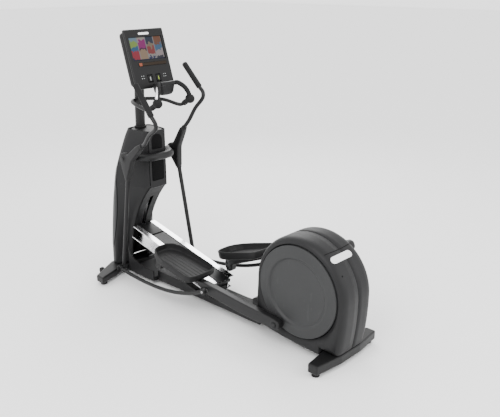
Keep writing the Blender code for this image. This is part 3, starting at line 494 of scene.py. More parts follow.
def plate(outline, low, high, edge, to_world, segments=4):
    """A flat outline given depth. Towards each face it draws in along its normals as a
    quarter circle: inset is edge * (1 - sin a) while depth is edge * (1 - cos a)."""
    p = np.asarray(outline, float)
    area = np.sum(p[:, 0] * np.roll(p[:, 1], -1) - np.roll(p[:, 0], -1) * p[:, 1])
    p = p if area > 0 else p[::-1]
    run = np.roll(p, -1, 0) - np.roll(p, 1, 0)
    run /= np.maximum(np.linalg.norm(run, axis=1, keepdims=True), 1e-9)
    normal = np.stack([run[:, 1], -run[:, 0]], 1)
    a = np.linspace(0, pi / 2, segments + 1)
    inset = np.concatenate([edge * (1 - np.sin(a)), edge * (1 - np.sin(a[::-1]))])
    depth = np.concatenate([low + edge * (1 - np.cos(a)), high - edge * (1 - np.cos(a[::-1]))])
    flat = p[None] - normal[None] * inset[:, None, None]
    depth = depth[:, None] + 0 * flat[..., 0]
    grid = np.stack(to_world(flat[..., 0], flat[..., 1], depth), -1)
    return Shape(grid, face=flat)


def side_view(y, z, x):
    return x, y, z


def plan_view(x, y, z):
    return x, y, z


def on_console(x, up, depth):
    """Console plane: x across, up along the leaning face, depth away from the user."""
    c, s = cos(CONSOLE_LEAN), sin(CONSOLE_LEAN)
    return x, SCREEN[0] + depth * c + up * s, SCREEN[1] - depth * s + up * c


def on_rear_panel(x, z, depth):
    return x, PANEL_Y + depth + 0 * x, z


def turned(profile, centre, sign=1, steps=96):
    """A profile of (radius, x) carried round the X axis through the centre (y, z)."""
    r, h = np.asarray(profile, float).T
    a = np.linspace(0, 2 * pi, steps, endpoint=False)[None]
    r = np.maximum(r, 0.0006)[:, None]
    grid = np.stack([sign * h[:, None] + 0 * a, centre[0] + r * np.cos(a),
                     centre[1] + r * np.sin(a)], -1)
    return Shape(grid)


def tube(points, radius, across=(1, 0, 0), sides=32, edge=0.003, spacing=0.006, smooth=True,
         wave=None):
    """A circle carried along a path. Its radius follows sqrt(1 - (1 - d / edge) ** 2) over
    the first and last stretch, d from the end, and wave(distance) elsewhere."""
    path = through(points) if smooth else np.asarray(points, float)
    step = np.linalg.norm(np.diff(path, axis=0), axis=1)
    travelled = np.concatenate([[0], np.cumsum(step)])
    length = travelled[-1]
    a = np.linspace(0.35, pi / 2, 5)
    start = edge * (1 - np.cos(a))
    middle = np.linspace(edge, length - edge, max(3, int(length / spacing)))[1:-1]
    at = np.concatenate([start, middle, (length - start)[::-1]])
    dome = np.sin(np.concatenate([a, np.full(len(middle), pi / 2), a[::-1]]))
    centre = np.stack([np.interp(at, travelled, path[:, k]) for k in range(3)], 1)
    ahead = np.gradient(centre, axis=0)
    ahead /= np.linalg.norm(ahead, axis=1, keepdims=True)
    first = np.cross(ahead, np.asarray(across, float))
    first /= np.linalg.norm(first, axis=1, keepdims=True)
    second = np.cross(ahead, first)
    r = radius * dome * (1.0 if wave is None else wave(at, length))
    t = np.linspace(0, 2 * pi, sides, endpoint=False)
    grid = centre[:, None] + r[:, None, None] * (first[:, None] * np.cos(t)[None, :, None]
                                                 + second[:, None] * np.sin(t)[None, :, None])
    return Shape(grid)


def ball(centre, size, rows=24, columns=32):
    """An ellipsoid: latitude by longitude."""
    lat = np.linspace(0.02, pi - 0.02, rows)[:, None]
    lon = np.linspace(0, 2 * pi, columns, endpoint=False)[None]
    grid = np.stack([np.sin(lat) * np.cos(lon), np.sin(lat) * np.sin(lon),
                     np.cos(lat) + 0 * lon], -1)
    return Shape(np.asarray(centre, float) + grid * np.asarray(size, float))


def spun(point, angle, about):
    """A side point turned about the origin by an angle and moved to its pivot."""
    y, z = np.asarray(point, float).T
    return np.stack([about[0] + y * cos(angle) - z * sin(angle),
                     about[1] + y * sin(angle) + z * cos(angle)], -1)


def ordered(sign, inner, outer):
    return (inner, outer) if sign > 0 else (-outer, -inner)


def screw(centre, x, sign, radius=0.006):
    """A domed screw head with a socket."""
    return turned([(0.0, x + 0.0010), (radius * 0.45, x + 0.0010), (radius * 0.5, x + 0.0030),
                   (radius * 0.8, x + 0.0028), (radius, x + 0.0012), (radius, x), (0.0, x)],
                  centre, sign, 24)


# ------------------------------------------------------------------ drum and discs

def drum_outline():
    """A circle about the crank, down the rear, over the notch for the rear leg and back."""
    a = np.radians(np.linspace(-1.7, 180, 150))
    circle = np.stack([CRANK[0] + 0.325 * np.cos(a), CRANK[1] + 0.325 * np.sin(a)], 1)
    rear = through([circle[-1], (-1.048, 0.330), (-1.043, 0.250), (-1.034, 0.170),
                    (-1.022, 0.100), (-1.0146, 0.0784)], steps=8)
    under = np.array([(-1.0146, 0.0784), (-0.9034, 0.0784), (-0.9034, 0.034), (-0.760, 0.034),
                      (-0.620, 0.044), (-0.500, 0.060), (-0.420, 0.078), (-0.390, 0.100),
                      (-0.390, 0.180), (-0.394, 0.260), circle[0]])
    t = np.linspace(0, 1, 10, endpoint=False)[None, :, None]
    under = (under[:-1, None] * (1 - t) + under[1:, None] * t).reshape(-1, 2)
    return np.vstack([circle, rear[1:-1], under])


def drum_inset(x):
    """How far the skin has drawn in towards the crank at x: a quarter ellipse past .084."""
    over = np.clip((np.abs(x) - 0.084) / 0.053, 0, 1)
    return 0.034 * (1 - np.sqrt(1 - over ** 2))


def build_drum():
    """Two half skins. The outline shrinks towards the crank as a quarter ellipse over the
    edge, then runs in flat to the hole round the disc."""
    size = bpy.context.scene.trainer_sizes
    outline = drum_outline()
    spoke = outline - np.array(CRANK)
    reach = np.linalg.norm(spoke, axis=1)
    a = np.linspace(0, pi / 2, 14)
    x = np.concatenate([[size.panel_gap / 2, 0.04, 0.070], 0.084 + 0.053 * np.sin(a), [0.137]])
    inset = np.concatenate([[0, 0, 0], 0.034 * (1 - np.cos(a))])
    for side, sign in SIDES.items():
        rows = 1 - inset[:, None] / reach[None]
        rows = np.vstack([rows, 0.2835 / reach])
        where = np.array(CRANK)[None, None] + spoke[None] * rows[..., None]
        grid = np.concatenate([sign * x[:, None, None] + 0 * where[..., :1], where], -1)
        piece(f"drum_skin_{side}", Shape(grid, ends=False), "shell_grey", "frame",
              stands_for=(f"drive_shroud_{side}",), wall=size.skin, sharp=50)
        lip = [(0.2834, 0.1300), (0.2834, 0.1235), (0.2796, 0.1235), (0.2796, 0.1300),
               (0.2834, 0.1300)]
        piece(f"drum_lip_{side}", turned(lip, CRANK, sign), "groove", "frame")
    a = np.radians(np.linspace(0, 122.5, 120))
    seam = np.stack([0 * a, CRANK[0] + 0.3234 * np.cos(a), CRANK[1] + 0.3234 * np.sin(a)], 1)
    piece("drum_seam", tube(seam, 0.0020, (1, 0, 0), 8, 0.001, 0.008, smooth=False), "groove",
          "frame")


def on_drum(x, along, depth):
    """Wrapped on the drum: along runs round it from the badge, depth off the skin."""
    a = BADGE_ANGLE + along / 0.325
    r = 0.325 + depth - drum_inset(x)
    return x, CRANK[0] + r * np.cos(a), CRANK[1] + r * np.sin(a)


def build_drum_marks():
    """Blank pill badge bent round the drum (half height 0.021 * sqrt(1 - (over / 0.021) ** 2)
    at its round ends), the panel line above it and a small screw."""
    u = -np.cos(np.linspace(0.06, pi / 2, 12))
    ends = BADGE_HALF - 0.021
    x = np.concatenate([0.021 * u - ends, np.linspace(-ends, ends, 30)[1:-1],
                        ends - 0.021 * u[::-1]])
    half = 0.021 * np.sqrt(1 - (np.maximum(np.abs(x) - ends, 0) / 0.021) ** 2)
    share = np.linspace(-1, 1, 13)
    loop = np.concatenate([share, share[::-1]])
    depth = np.concatenate([np.full(13, -0.0006), 0.0022 - 0.0008 * share ** 8])
    along = half[:, None] * loop[None]
    grid = on_drum(BADGE_X + x[:, None] + 0 * along, along, depth[None] + 0 * along)
    piece("drum_badge", Shape(np.stack(grid, -1)), "badge", "frame")
    bow = np.linspace(-0.118, 0.118, 60)
    line = np.stack(on_drum(bow, -0.046 - 0.006 * (bow / 0.118) ** 2, 0.0002 + 0 * bow), -1)
    piece("drum_panel_line", tube(line, 0.0014, (0, 1, 1), 8, 0.001, 0.004, smooth=False),
          "groove", "frame")
    a = np.linspace(0, 2 * pi, 20, endpoint=False)
    dot = np.stack([SCREW_AT[0] + 0.0045 * np.cos(a), SCREW_AT[1] + 0.0045 * np.sin(a)], 1)
    piece("drum_screw", plate(dot, -0.0008, 0.0008, 0.0005, on_drum, 2), "groove", "frame")


BADGE_ANGLE = radians(131.0)
BADGE_X = -0.022
BADGE_HALF = 0.088
SCREW_AT = (-0.094, 0.098)


def build_discs():
    """Turned discs: a dished middle, a raised ring and a rounded rim, with the crank pin."""
    profile = [(0.0, 0.1390), (0.120, 0.1390), (0.190, 0.1390), (0.1960, 0.1394),
               (0.2000, 0.1425), (0.2045, 0.1480), (0.2080, 0.1504), (0.2115, 0.1510),
               (0.2190, 0.1510), (0.2235, 0.1504), (0.2320, 0.1470), (0.2720, 0.1470),
               (0.2762, 0.1460), (0.2785, 0.1440), (0.2790, 0.1415), (0.2790, 0.1280),
               (0.0, 0.1280)]
    cap = [(0.0, 0.2185), (0.0095, 0.2185), (0.0118, 0.2177), (0.0130, 0.2158),
           (0.0130, 0.1385), (0.0, 0.1385)]
    for side, sign in SIDES.items():
        piece(f"{side}_disc_face", turned(profile, CRANK, sign, 160), "disc_grey", "crank",
              stands_for=(f"{side}_disc",), sharp=60)
        piece(f"{side}_crank_pin", turned(cap, PIN[side], sign, 40), "casting_black", "crank")


# ------------------------------------------------------------------ tower

TOWER = np.array([
    # z, half width at the front, front y
    (0.072, 0.168, 1.049), (0.140, 0.168, 1.049), (0.220, 0.168, 1.046), (0.320, 0.166, 1.038),
    (0.420, 0.163, 1.029), (0.520, 0.160, 1.018), (0.600, 0.157, 1.008), (0.660, 0.154, 0.998),
    (0.700, 0.152, 0.993), (0.800, 0.144, 0.975), (0.900, 0.130, 0.946), (1.000, 0.115, 0.911),
    (1.060, 0.106, 0.887), (1.100, 0.098, 0.868)])


def hollow_y(z):
    """The tower's rear edge: an arc about the ramp's pivot, and the flat panel above it."""
    arc = RAMP_PIVOT[0] + np.sqrt(np.maximum(TOWER_ARC ** 2 - (z - RAMP_PIVOT[1]) ** 2, 0))
    return np.where(z >= PANEL_LOW, PANEL_Y, arc)


def tower_surface(z, along, sign, out=0.0):
    """A point of the skin: at height z the plan is a cubic through seven corners, and along
    runs from 0 at the front middle to 6 at the rear edge; out moves it off along its normal."""
    smooth = through(TOWER, steps=8)
    half = np.interp(z, smooth[:, 0], smooth[:, 1])
    front = np.interp(z, smooth[:, 0], smooth[:, 2])
    rear = hollow_y(z)
    fixed = np.ones_like(z)
    corner_x = np.stack([0.0003 * fixed, 0.60 * half, 0.90 * half, half, 0.985 * half,
                         0.086 * fixed, 0.0755 * fixed], -1)
    corner_y = np.stack([front, front - 0.003, front - 0.014, front - 0.040, front - 0.085,
                         rear + 0.030, rear + 0.002], -1)

    def at(s):
        s = np.clip(s, 0, 5.9999)
        i = np.floor(s).astype(int)
        t = s - i
        i = np.broadcast_to(i, z.shape)
        picks = [np.clip(i + k, 0, 6)[..., None] for k in (-1, 0, 1, 2)]
        weights = (0.5 * (-t + 2 * t ** 2 - t ** 3), 0.5 * (2 - 5 * t ** 2 + 3 * t ** 3),
                   0.5 * (t + 4 * t ** 2 - 3 * t ** 3), 0.5 * (-t ** 2 + t ** 3))
        blend = np.where(s > 4.0, np.clip(s - 4.0, 0, 1), 0.0)
        x = sum(w * np.take_along_axis(corner_x, p, -1)[..., 0]
                for w, p in zip(weights, picks))
        y = sum(w * np.take_along_axis(corner_y, p, -1)[..., 0]
                for w, p in zip(weights, picks))
        straight = [np.take_along_axis(c, picks[1], -1)[..., 0] * (1 - t)
                    + np.take_along_axis(c, picks[2], -1)[..., 0] * t
                    for c in (corner_x, corner_y)]
        return x * (1 - blend) + straight[0] * blend, y * (1 - blend) + straight[1] * blend

    x, y = at(along)
    x1, y1 = at(along + 0.02)
    x0, y0 = at(along - 0.02)
    dx, dy = x1 - x0, y1 - y0
    size = np.maximum(np.hypot(dx, dy), 1e-9)
    return np.stack([sign * (x - out * dy / size), y + out * dx / size, z], -1)


def build_tower():
    """Half skins on the tower's frame, each with its light spindle panel and grooves."""
    size = bpy.context.scene.trainer_sizes
    z = np.concatenate([np.linspace(0.072, 0.6999, 64), np.linspace(0.7001, 1.100, 44)])[:, None]
    along = np.concatenate([np.linspace(0, 5, 61), np.linspace(5.1, 6, 10)])[None]
    for side, sign in SIDES.items():
        grid = tower_surface(z + 0 * along, along + 0 * z, sign)
        piece(f"tower_skin_{side}", Shape(grid, around=False, ends=False), "shell_grey",
              "frame", stands_for=(f"tower_shell_{side}",), wall=size.skin, sharp=42)
        t = np.linspace(0, 1, 60)[:, None]
        w = np.linspace(0, 1, 24)[None]
        height = 0.20 + 0.65 * t
        swell = np.clip(np.sin(pi * t ** 0.92), 0, 1) ** 0.55
        middle = 2.95 - 0.10 * t
        spread = middle + (w - 0.5) * 2 * (0.03 + 0.97 * swell)
        panel = tower_surface(height + 0 * w, spread, sign, 0.0018)
        piece(f"tower_accent_{side}", Shape(panel, around=False, ends=False), "accent", "frame",
              wall=0.0022)
        edge = tower_surface(height[:, 0], spread[:, -1] + 0.03, sign, 0.0008)
        piece(f"tower_accent_groove_{side}", tube(edge, 0.0016, (0, 1, 0), 8, 0.001, 0.012,
              smooth=False), "groove", "frame")


def build_tower_trim():
    """Top cap, the two windows on the user's side, and the gasket round the mast."""
    half = [(0.060, 0.662), (0.084, 0.735), (0.089, 0.815), (0.055, 0.852)]
    plan = cornered(half + [(-x, y) for x, y in reversed(half)], 0.014)
    piece("tower_cap", plate(plan, 1.0900, 1.0970, 0.002, plan_view), "panel_black", "frame",
          stands_for=("tower_top_cap",))
    low = box_outline(-0.047, 0.047, 0.752, 0.902, 0.008)
    piece("tower_window", plate(low, -0.0012, 0.0016, 0.001, on_rear_panel), "window", "frame")
    ring = box_outline(-0.052, 0.052, 0.747, 0.907, 0.012)
    piece("tower_window_frame", plate(ring, -0.0006, 0.0010, 0.0005, on_rear_panel), "groove",
          "frame")
    arch = np.array([(-0.045, 0.970), (0.045, 0.970), (0.045, 1.040), (0.030, 1.068),
                     (0.0, 1.076), (-0.030, 1.068), (-0.045, 1.040)])
    piece("tower_hatch", plate(cornered(arch, 0.012), -0.0018, 0.0010, 0.0014, on_rear_panel),
          "window", "frame")
    a = np.linspace(0, 2 * pi, 64, endpoint=False)
    gasket = np.stack([0.043 * np.cos(a), 0.827 + 0.040 * np.sin(a)], 1)
    piece("mast_gasket", plate(gasket, 1.0972, 1.1090, 0.004, plan_view), "rubber", "frame")


def build_yoke():
    """Yoke round the tower, its stub axles, and the bent mast under the console."""
    half = [(0.060, 0.6225, HUB[1]), (0.100, 0.640, HUB[1]), (0.126, 0.680, HUB[1]),
            (0.144, 0.722, HUB[1]), (0.168, 0.740, HUB[1])]
    path = [(-x, y, z) for x, y, z in reversed(half)] + [(0.0, 0.6215, HUB[1])] + half
    shapes = [tube(path, 0.0270, (0, 0, 1), 40)]
    stub = [(0.0, 0.2360), (0.0105, 0.2360), (0.0138, 0.2350), (0.0145, 0.2330),
            (0.0145, 0.1500), (0.0, 0.1500)]
    shapes += [turned(stub, HUB, sign, 40) for sign in SIDES.values()]
    piece("yoke", shapes, "frame_black", "frame", stands_for=("crossbar",))
    up, out = 0.0626, 0.1000
    end = on_console(0.0, -0.130, up)
    before = on_console(0.0, -0.130, out)
    path = [(0, 0.8270, 1.1006), (0, 0.827, 1.115), (0, 0.8235, 1.260), (0, 0.8205, 1.330),
            (0, 0.817, 1.380), (0, 0.813, 1.415), (0, 0.802, 1.448), before, end]
    piece("mast_tube", tube(path, 0.0340, sides=48), "frame_black", "frame",
          stands_for=("mast",))


# ------------------------------------------------------------------ console

def build_console():
    """Housing, lit screen, bar, levers and keys; the face itself is the frame's own."""
    back = box_outline(-0.158, 0.158, -0.235, 0.122, 0.028)
    piece("console_housing", plate(back, 0.0125, 0.0620, 0.018, on_console, 8), "panel_black",
          "frame", stands_for=("console_back",))
    picture = box_outline(-0.1330, 0.1330, -0.0750, 0.0750, 0.002)
    piece("screen_picture", plate(picture, -0.0020, 0.0115, 0.0004, on_console, 1),
          "screen_glass", "frame", stands_for=("screen_panel",))
    bar = box_outline(-0.0740, 0.128, -0.1140, -0.0920, 0.006)
    piece("console_bar", plate(bar, -0.0150, -0.0095, 0.004, on_console), "strip", "frame")
    tip = box_outline(-0.1000, -0.0745, -0.1140, -0.0920, 0.006)
    piece("console_bar_end", plate(tip, -0.0150, -0.0095, 0.004, on_console), "spark", "frame")
    pill = box_outline(-0.050, 0.036, 0.0900, 0.1050, 0.0074)
    piece("console_badge", plate(pill, -0.0118, -0.0095, 0.0010, on_console), "badge", "frame")
    keys = [plate(box_outline(x - 0.0032, x + 0.0032, up - 0.0022, up + 0.0022, 0.001),
                  -0.0106, -0.0095, 0.0004, on_console, 2)
            for x in (-0.100, -0.084, 0.082, 0.098) for up in (-0.178, -0.194)]
    piece("console_keys", keys, "mark", "frame")
    for side, sign in SIDES.items():
        x = 0.034 * sign
        lever = plate(box_outline(x - 0.0160, x + 0.0160, -0.2200, -0.1780, 0.006), -0.0120,
                      0.0020, 0.003, on_console)
        piece(f"{side}_lever", lever, "pedal_black", f"{side}_paddle_body",
              stands_for=(f"{side}_paddle",))
        tick = plate(box_outline(x - 0.0030, x + 0.0030, -0.2130, -0.1880, 0.002), -0.0127,
                     -0.0115, 0.0004, on_console, 2)
        piece(f"{side}_lever_tick", tick, "lime" if sign > 0 else "mark",
              f"{side}_paddle_body")


def handlebar_path():
    half = [(0.042, 0.8222, 1.290), (0.075, 0.800, 1.290), (0.108, 0.755, 1.290),
            (0.130, 0.690, 1.284), (0.138, 0.600, 1.271), (0.139, 0.553, 1.271),
            (0.138, 0.512, 1.288)]
    return [(-x, y, z) for x, y, z in reversed(half)] + [(0.0, 0.8222, 1.290)] + half


def build_fixed_bars():
    """The loop through the mast, its bulbs, the pulse grips and the accessory tray."""
    piece("fixed_loop", tube(handlebar_path(), 0.0125, (0, 0, 1), 28), "frame_black", "frame",
          stands_for=("fixed_handlebar",))
    for side, sign in SIDES.items():
        upper = [(0.138, 0.457, 1.322), (0.132, 0.462, 1.360), (0.112, 0.478, 1.400),
                 (0.088, 0.506, 1.426), (0.075, 0.515, 1.430), (0.0632, 0.517, 1.430)]
        upper = [(sign * x, y, z) for x, y, z in upper]
        bulb = ball((sign * 0.138, 0.457, 1.322), (0.0290, 0.0360, 0.0310))
        neck = tube([(sign * 0.138, 0.470, 1.314), (sign * 0.1382, 0.522, 1.2825)], 0.0185,
                    sides=28, edge=0.006, smooth=False)
        piece(f"{side}_pulse_grip", [bulb, neck, tube(upper, 0.0155, (0, 1, 0), 32)], "rubber",
              "frame", stands_for=(f"{side}_fixed_grip",))
        outward = through(upper)[14:52] + np.array([sign * 0.0048, -0.0015, 0.0])
        piece(f"{side}_pulse_plate", tube(outward, 0.0122, (0, 1, 0), 32, 0.002, smooth=False),
              "sensor", "frame")
    low, high = (-0.058, 0.508, 1.352), (0.058, 0.606, 1.426)
    outer = [(0.030, low[2]), (0.014, low[2] + 0.006), (0.005, low[2] + 0.022),
             (0.0, high[2] - 0.018), (0.0, high[2] - 0.003), (0.002, high[2])]
    grids = [np.column_stack([box_outline(low[0] + i, high[0] - i, low[1] + i, high[1] - i,
                                          0.018), np.full(24, h)]) for i, h in outer]
    inner = [(0.0, high[2]), (0.002, high[2] - 0.003), (0.006, low[2] + 0.020),
             (0.016, low[2] + 0.010)]
    grids += [np.column_stack([box_outline(-0.051 + i, 0.051 - i, 0.534 + i, 0.598 - i, 0.012),
                               np.full(24, h)]) for i, h in inner]
    rim = tube([(-0.0605, 0.517, 1.430), (0.0605, 0.517, 1.430)], 0.0155, (0, 1, 0), 32,
               smooth=False)
    piece("tray_bowl", [Shape(np.stack(grids)), rim], "panel_black", "frame",
          stands_for=("accessory_tray",))


# ------------------------------------------------------------------ moving handlebars

def rings(pitch, depth=0.022):
    """Rounded rings along a grip: the radius dips as the square of a cosine each pitch."""
    def wave(at, length):
        inner = (at > 0.010) & (at < length - 0.012)
        return 1.0 - depth * inner * np.cos(pi * at / pitch) ** 8
    return wave


def build_handlebars():
    """Bracket casting, bent tube, ringed grip and straight lower tube on each side."""
    size = bpy.context.scene.trainer_sizes
    web = [(-0.170, 0.128), (-0.150, 0.152), (-0.128, 0.140), (-0.030, 0.036), (0.0, 0.042),
           (0.030, 0.030), (0.040, 0.0), (0.026, -0.036), (-0.020, -0.118), (-0.030, -0.138),
           (-0.056, -0.134), (-0.062, -0.100), (-0.086, 0.010)]
    for side, sign in SIDES.items():
        body, swing = f"{side}_swing", SWING[side]
        x0, x1 = ordered(sign, 0.187, 0.2305)
        outline = spun(cornered(web, 0.016), swing, HUB)
        shapes = [plate(outline, x0, x1, 0.009, side_view, 6)]
        for reach, toward in (((-0.148, 0.130), (-0.170, 0.1484)),
                              ((-0.040, -0.112), (-0.0431, -0.148))):
            a, b = spun([reach, toward], swing, HUB)
            shapes.append(tube([(sign * 0.2087, *a), (sign * 0.2087, *b)], 0.0195, sides=32,
                               edge=0.005, smooth=False))
        piece(f"{side}_bracket_casting", shapes, "casting_black", body,
              stands_for=(f"{side}_arm_bracket",))
        boss = [(0.0150, 0.2318), (0.0260, 0.2318), (0.0300, 0.2305), (0.0315, 0.2280),
                (0.0315, 0.2200), (0.0150, 0.2200)]
        piece(f"{side}_hub_boss", turned(boss, HUB, sign, 64), "panel_black", body)
        upper = [(-0.1620, 0.1418, 0.208), (-0.180, 0.1568, 0.208), (-0.215, 0.193, 0.220),
                 (-0.270, 0.267, 0.240), (-0.330, 0.318, 0.254),
                 (-0.349, 0.345, 0.258), (-0.343, 0.374, 0.263), (-0.314, 0.4025, 0.268),
                 (-0.306, 0.4115, 0.2692)]
        path = [(sign * x, *spun([(y, z)], swing, HUB)[0]) for y, z, x in upper]
        piece(f"{side}_bent_tube", tube(path, size.tube, sides=36), "frame_black", body,
              stands_for=(f"{side}_handle_tube",))
        low = (sign * 0.2682, *spun([(-0.3130, 0.4040)], swing, HUB)[0])
        high = (sign * 0.2930, *spun([(-0.161, 0.576)], swing, HUB)[0])
        piece(f"{side}_foam_grip", tube([low, high], size.grip, sides=40, edge=0.008,
              spacing=0.0012, smooth=False, wave=rings(size.grip_ring)), "rubber", body,
              stands_for=(f"{side}_grip",), sharp=60)
        a, b = spun([(-0.0427, -0.1375), SWING_FOOT], swing, HUB)
        shapes = [tube([(sign * 0.209, *a), (sign * 0.209, *b)], size.lower_tube, sides=36,
                       smooth=False)]
        eye = [(0.0, 0.2260), (0.0180, 0.2260), (0.0210, 0.2250), (0.0220, 0.2225),
               (0.0220, 0.1970), (0.0210, 0.1945), (0.0180, 0.1935), (0.0, 0.1935)]
        stud = [(0.0, 0.2640), (0.0075, 0.2640), (0.0092, 0.2630), (0.0095, 0.2610),
                (0.0095, 0.2150), (0.0, 0.2150)]
        shapes.append(turned(eye, b, sign, 48))
        piece(f"{side}_long_tube", shapes, "frame_black", body,
              stands_for=(f"{side}_lower_tube",))
        piece(f"{side}_foot_stud", turned(stud, b, sign, 32), "casting_black", body)
        build_rod(side, sign, b, size)


def build_rod(side, sign, front, size):
    """The drooping rod: a tube through stations below the line between its two eyes."""
    rear = spun([ROD_PIVOT_ON_ARM], ARM_TILT[side], PIN[side])[0]
    line = rear - front
    length = np.linalg.norm(line)
    line = line / length
    droop = np.array([-line[1], line[0]])
    stations = np.array([(0.0, 0.0), (0.06, 0.010), (0.18, 0.032), (0.34, 0.054),
                         (0.52, 0.066), (0.68, 0.062), (0.82, 0.044), (0.93, 0.018),
                         (1.0, 0.0)])
    flat = front + stations[:, :1] * length * line + stations[:, 1:] * droop
    path = np.column_stack([np.full(len(flat), sign * ROD_X), flat])

    shapes = [tube(path, size.rod, sides=32, spacing=0.004)]
    for centre, radius in ((front, 0.0240), (rear, 0.0200)):
        hole = 0.0160 if radius > 0.022 else 0.0006
        eye = [(hole, 0.2575), (radius - 0.004, 0.2575), (radius - 0.001, 0.2562),
               (radius, 0.2538), (radius, 0.2322), (radius - 0.001, 0.2298),
               (radius - 0.004, 0.2285), (hole, 0.2285), (hole, 0.2575)]
        shapes.append(turned(eye, centre, sign, 56))
    stud = [(0.0, 0.2400), (0.0100, 0.2400), (0.0100, 0.2146), (0.0, 0.2146)]
    piece(f"{side}_curved_rod", shapes, "frame_black", f"{side}_rod_body",
          stands_for=(f"{side}_rod",))
    piece(f"{side}_rod_stud", [turned(stud, rear, sign, 32), screw(rear, 0.2560, sign, 0.0075)],
          "steel", f"{side}_rod_body")


# ------------------------------------------------------------------ foot arms and pedals

ARM_OUTLINE = [(-0.036, -0.013), (-0.026, -0.026), (0.0, -0.033), (0.090, -0.036),
               (0.290, -0.038), (0.540, -0.028), (0.610, -0.020), (0.665, 0.018),
               (1.015, 0.022), (1.032, -0.018), (1.082, -0.018), (1.086, 0.030),
               (1.052, 0.0912), (0.640, 0.0405), (0.615, 0.0470), (0.290, 0.0370),
               (0.070, 0.0350), (0.0, 0.033), (-0.026, 0.026), (-0.036, 0.012)]


def build_foot_arms():
    """Rounded beams with a ring round the crank pin, and the rollers with their axles."""
    for side, sign in SIDES.items():
        body, pin, tilt = f"{side}_foot", PIN[side], ARM_TILT[side]
        x0, x1 = ordered(sign, 0.1632, 0.2128)
        outline = spun(cornered(ARM_OUTLINE, 0.016, 5), tilt, pin)
        piece(f"{side}_beam", plate(outline, x0, x1, 0.007, side_view, 5), "frame_black", body,
              stands_for=(f"{side}_foot_arm",))
        ring = [(0.0165, 0.2142), (0.0290, 0.2142), (0.0315, 0.2132), (0.0320, 0.2118),
                (0.0165, 0.2118), (0.0165, 0.2142)]
        piece(f"{side}_pin_ring", turned(ring, pin, sign, 56), "casting_black", body)
        y = {"left": 0.4400, "right": 0.1349}[side]
        z = ramp_top(y) - ROLLER_DROP
        radius = 0.095 * cos(RAMP_SLOPE) / 2 - 0.0072
        wheel = [(0.0, 0.0950), (radius - 0.003, 0.0950), (radius, 0.0925), (radius, 0.0675),
                 (radius - 0.003, 0.0650), (0.0, 0.0650)]
        axle = [(0.0, 0.1610), (0.0090, 0.1610), (0.0090, 0.0800), (0.0, 0.0800)]
        piece(f"{side}_ramp_wheel", [turned(wheel, (y, z), sign, 64)], "pedal_black",
              f"{side}_roller_body", stands_for=(f"{side}_roller",))
        piece(f"{side}_ramp_axle", [turned(axle, (y, z), sign, 24)], "steel",
              f"{side}_roller_body")


def build_pedals():
    """Trays: the plan outline is drawn in row by row while the height goes up the outer
    wall, over the rim and down to the floor; the rim climbs from heel to toe."""
    ribs = bpy.context.scene.trainer_sizes.pedal_ribs
    plan = [(-0.062, 0.002), (0.062, 0.002), (0.110, 0.014), (0.122, 0.050), (0.122, 0.250),
            (0.108, 0.340), (0.078, 0.400), (0.036, 0.424), (-0.036, 0.424), (-0.078, 0.404),
            (-0.108, 0.350), (-0.122, 0.270), (-0.122, 0.050), (-0.110, 0.014)]
    plan = cornered(plan, 0.012, 6)
    middle = np.array([0.0, 0.212])
    spoke = plan - middle
    reach = np.linalg.norm(spoke, axis=1, keepdims=True)
    for side, sign in SIDES.items():
        tilt = ARM_TILT[side]
        pitch = tilt + PEDAL_PITCH
        y0, z0 = spun([PEDAL_START], tilt, PIN[side])[0]
        y0, z0 = y0 + 0.024 * sin(pitch), z0 - 0.024 * cos(pitch)

        def to_world(x, y, up, sign=sign, y0=y0, z0=z0, pitch=pitch):
            return (sign * PEDAL_X + x, y0 + y * cos(pitch) - up * sin(pitch),
                    z0 + y * sin(pitch) + up * cos(pitch))

        inset = np.array([0.030, 0.010, 0.003, 0.0, 0.0, 0.0008, 0.0030, 0.0062, 0.0085,
                          0.0095, 0.0115, 0.0165, 0.0240])
        rim = 0.0460 + 0.0279 * plan[:, 1]
        share = np.array([0.0, 0.0, 0.06, 0.18, 0.90, 0.965, 1.0, 1.0, 0.965, 0.90, 0, 0, 0])
        floor = np.array([0, 0, 0, 0, 0, 0, 0, 0, 0, 0, 0.022, 0.0165, 0.0150])
        up = share[:, None] * rim[None] + floor[:, None]
        flat = middle + spoke[None] * (1 - inset[:, None, None] / reach[None])
        grid = np.stack(to_world(flat[..., 0], flat[..., 1], up), -1)
        piece(f"{side}_pedal_tray", Shape(grid, face=flat), "pedal_black", f"{side}_foot",
              stands_for=(f"{side}_pedal",))
        strips = []
        for x in np.linspace(-0.070, 0.070, ribs):
            reach_y = 0.372 - 0.9 * abs(x) ** 1.6 * 6
            strips.append(plate(box_outline(x - 0.0035, x + 0.0035, 0.045, reach_y, 0.003),
                                0.0142, 0.0160, 0.0008, to_world, 2))
        piece(f"{side}_pedal_ribs", strips, "pedal_black", f"{side}_foot")


# ------------------------------------------------------------------ ramp and base

def ramp_top(y):
    return 0.284 + (y - 0.443) * 0.238


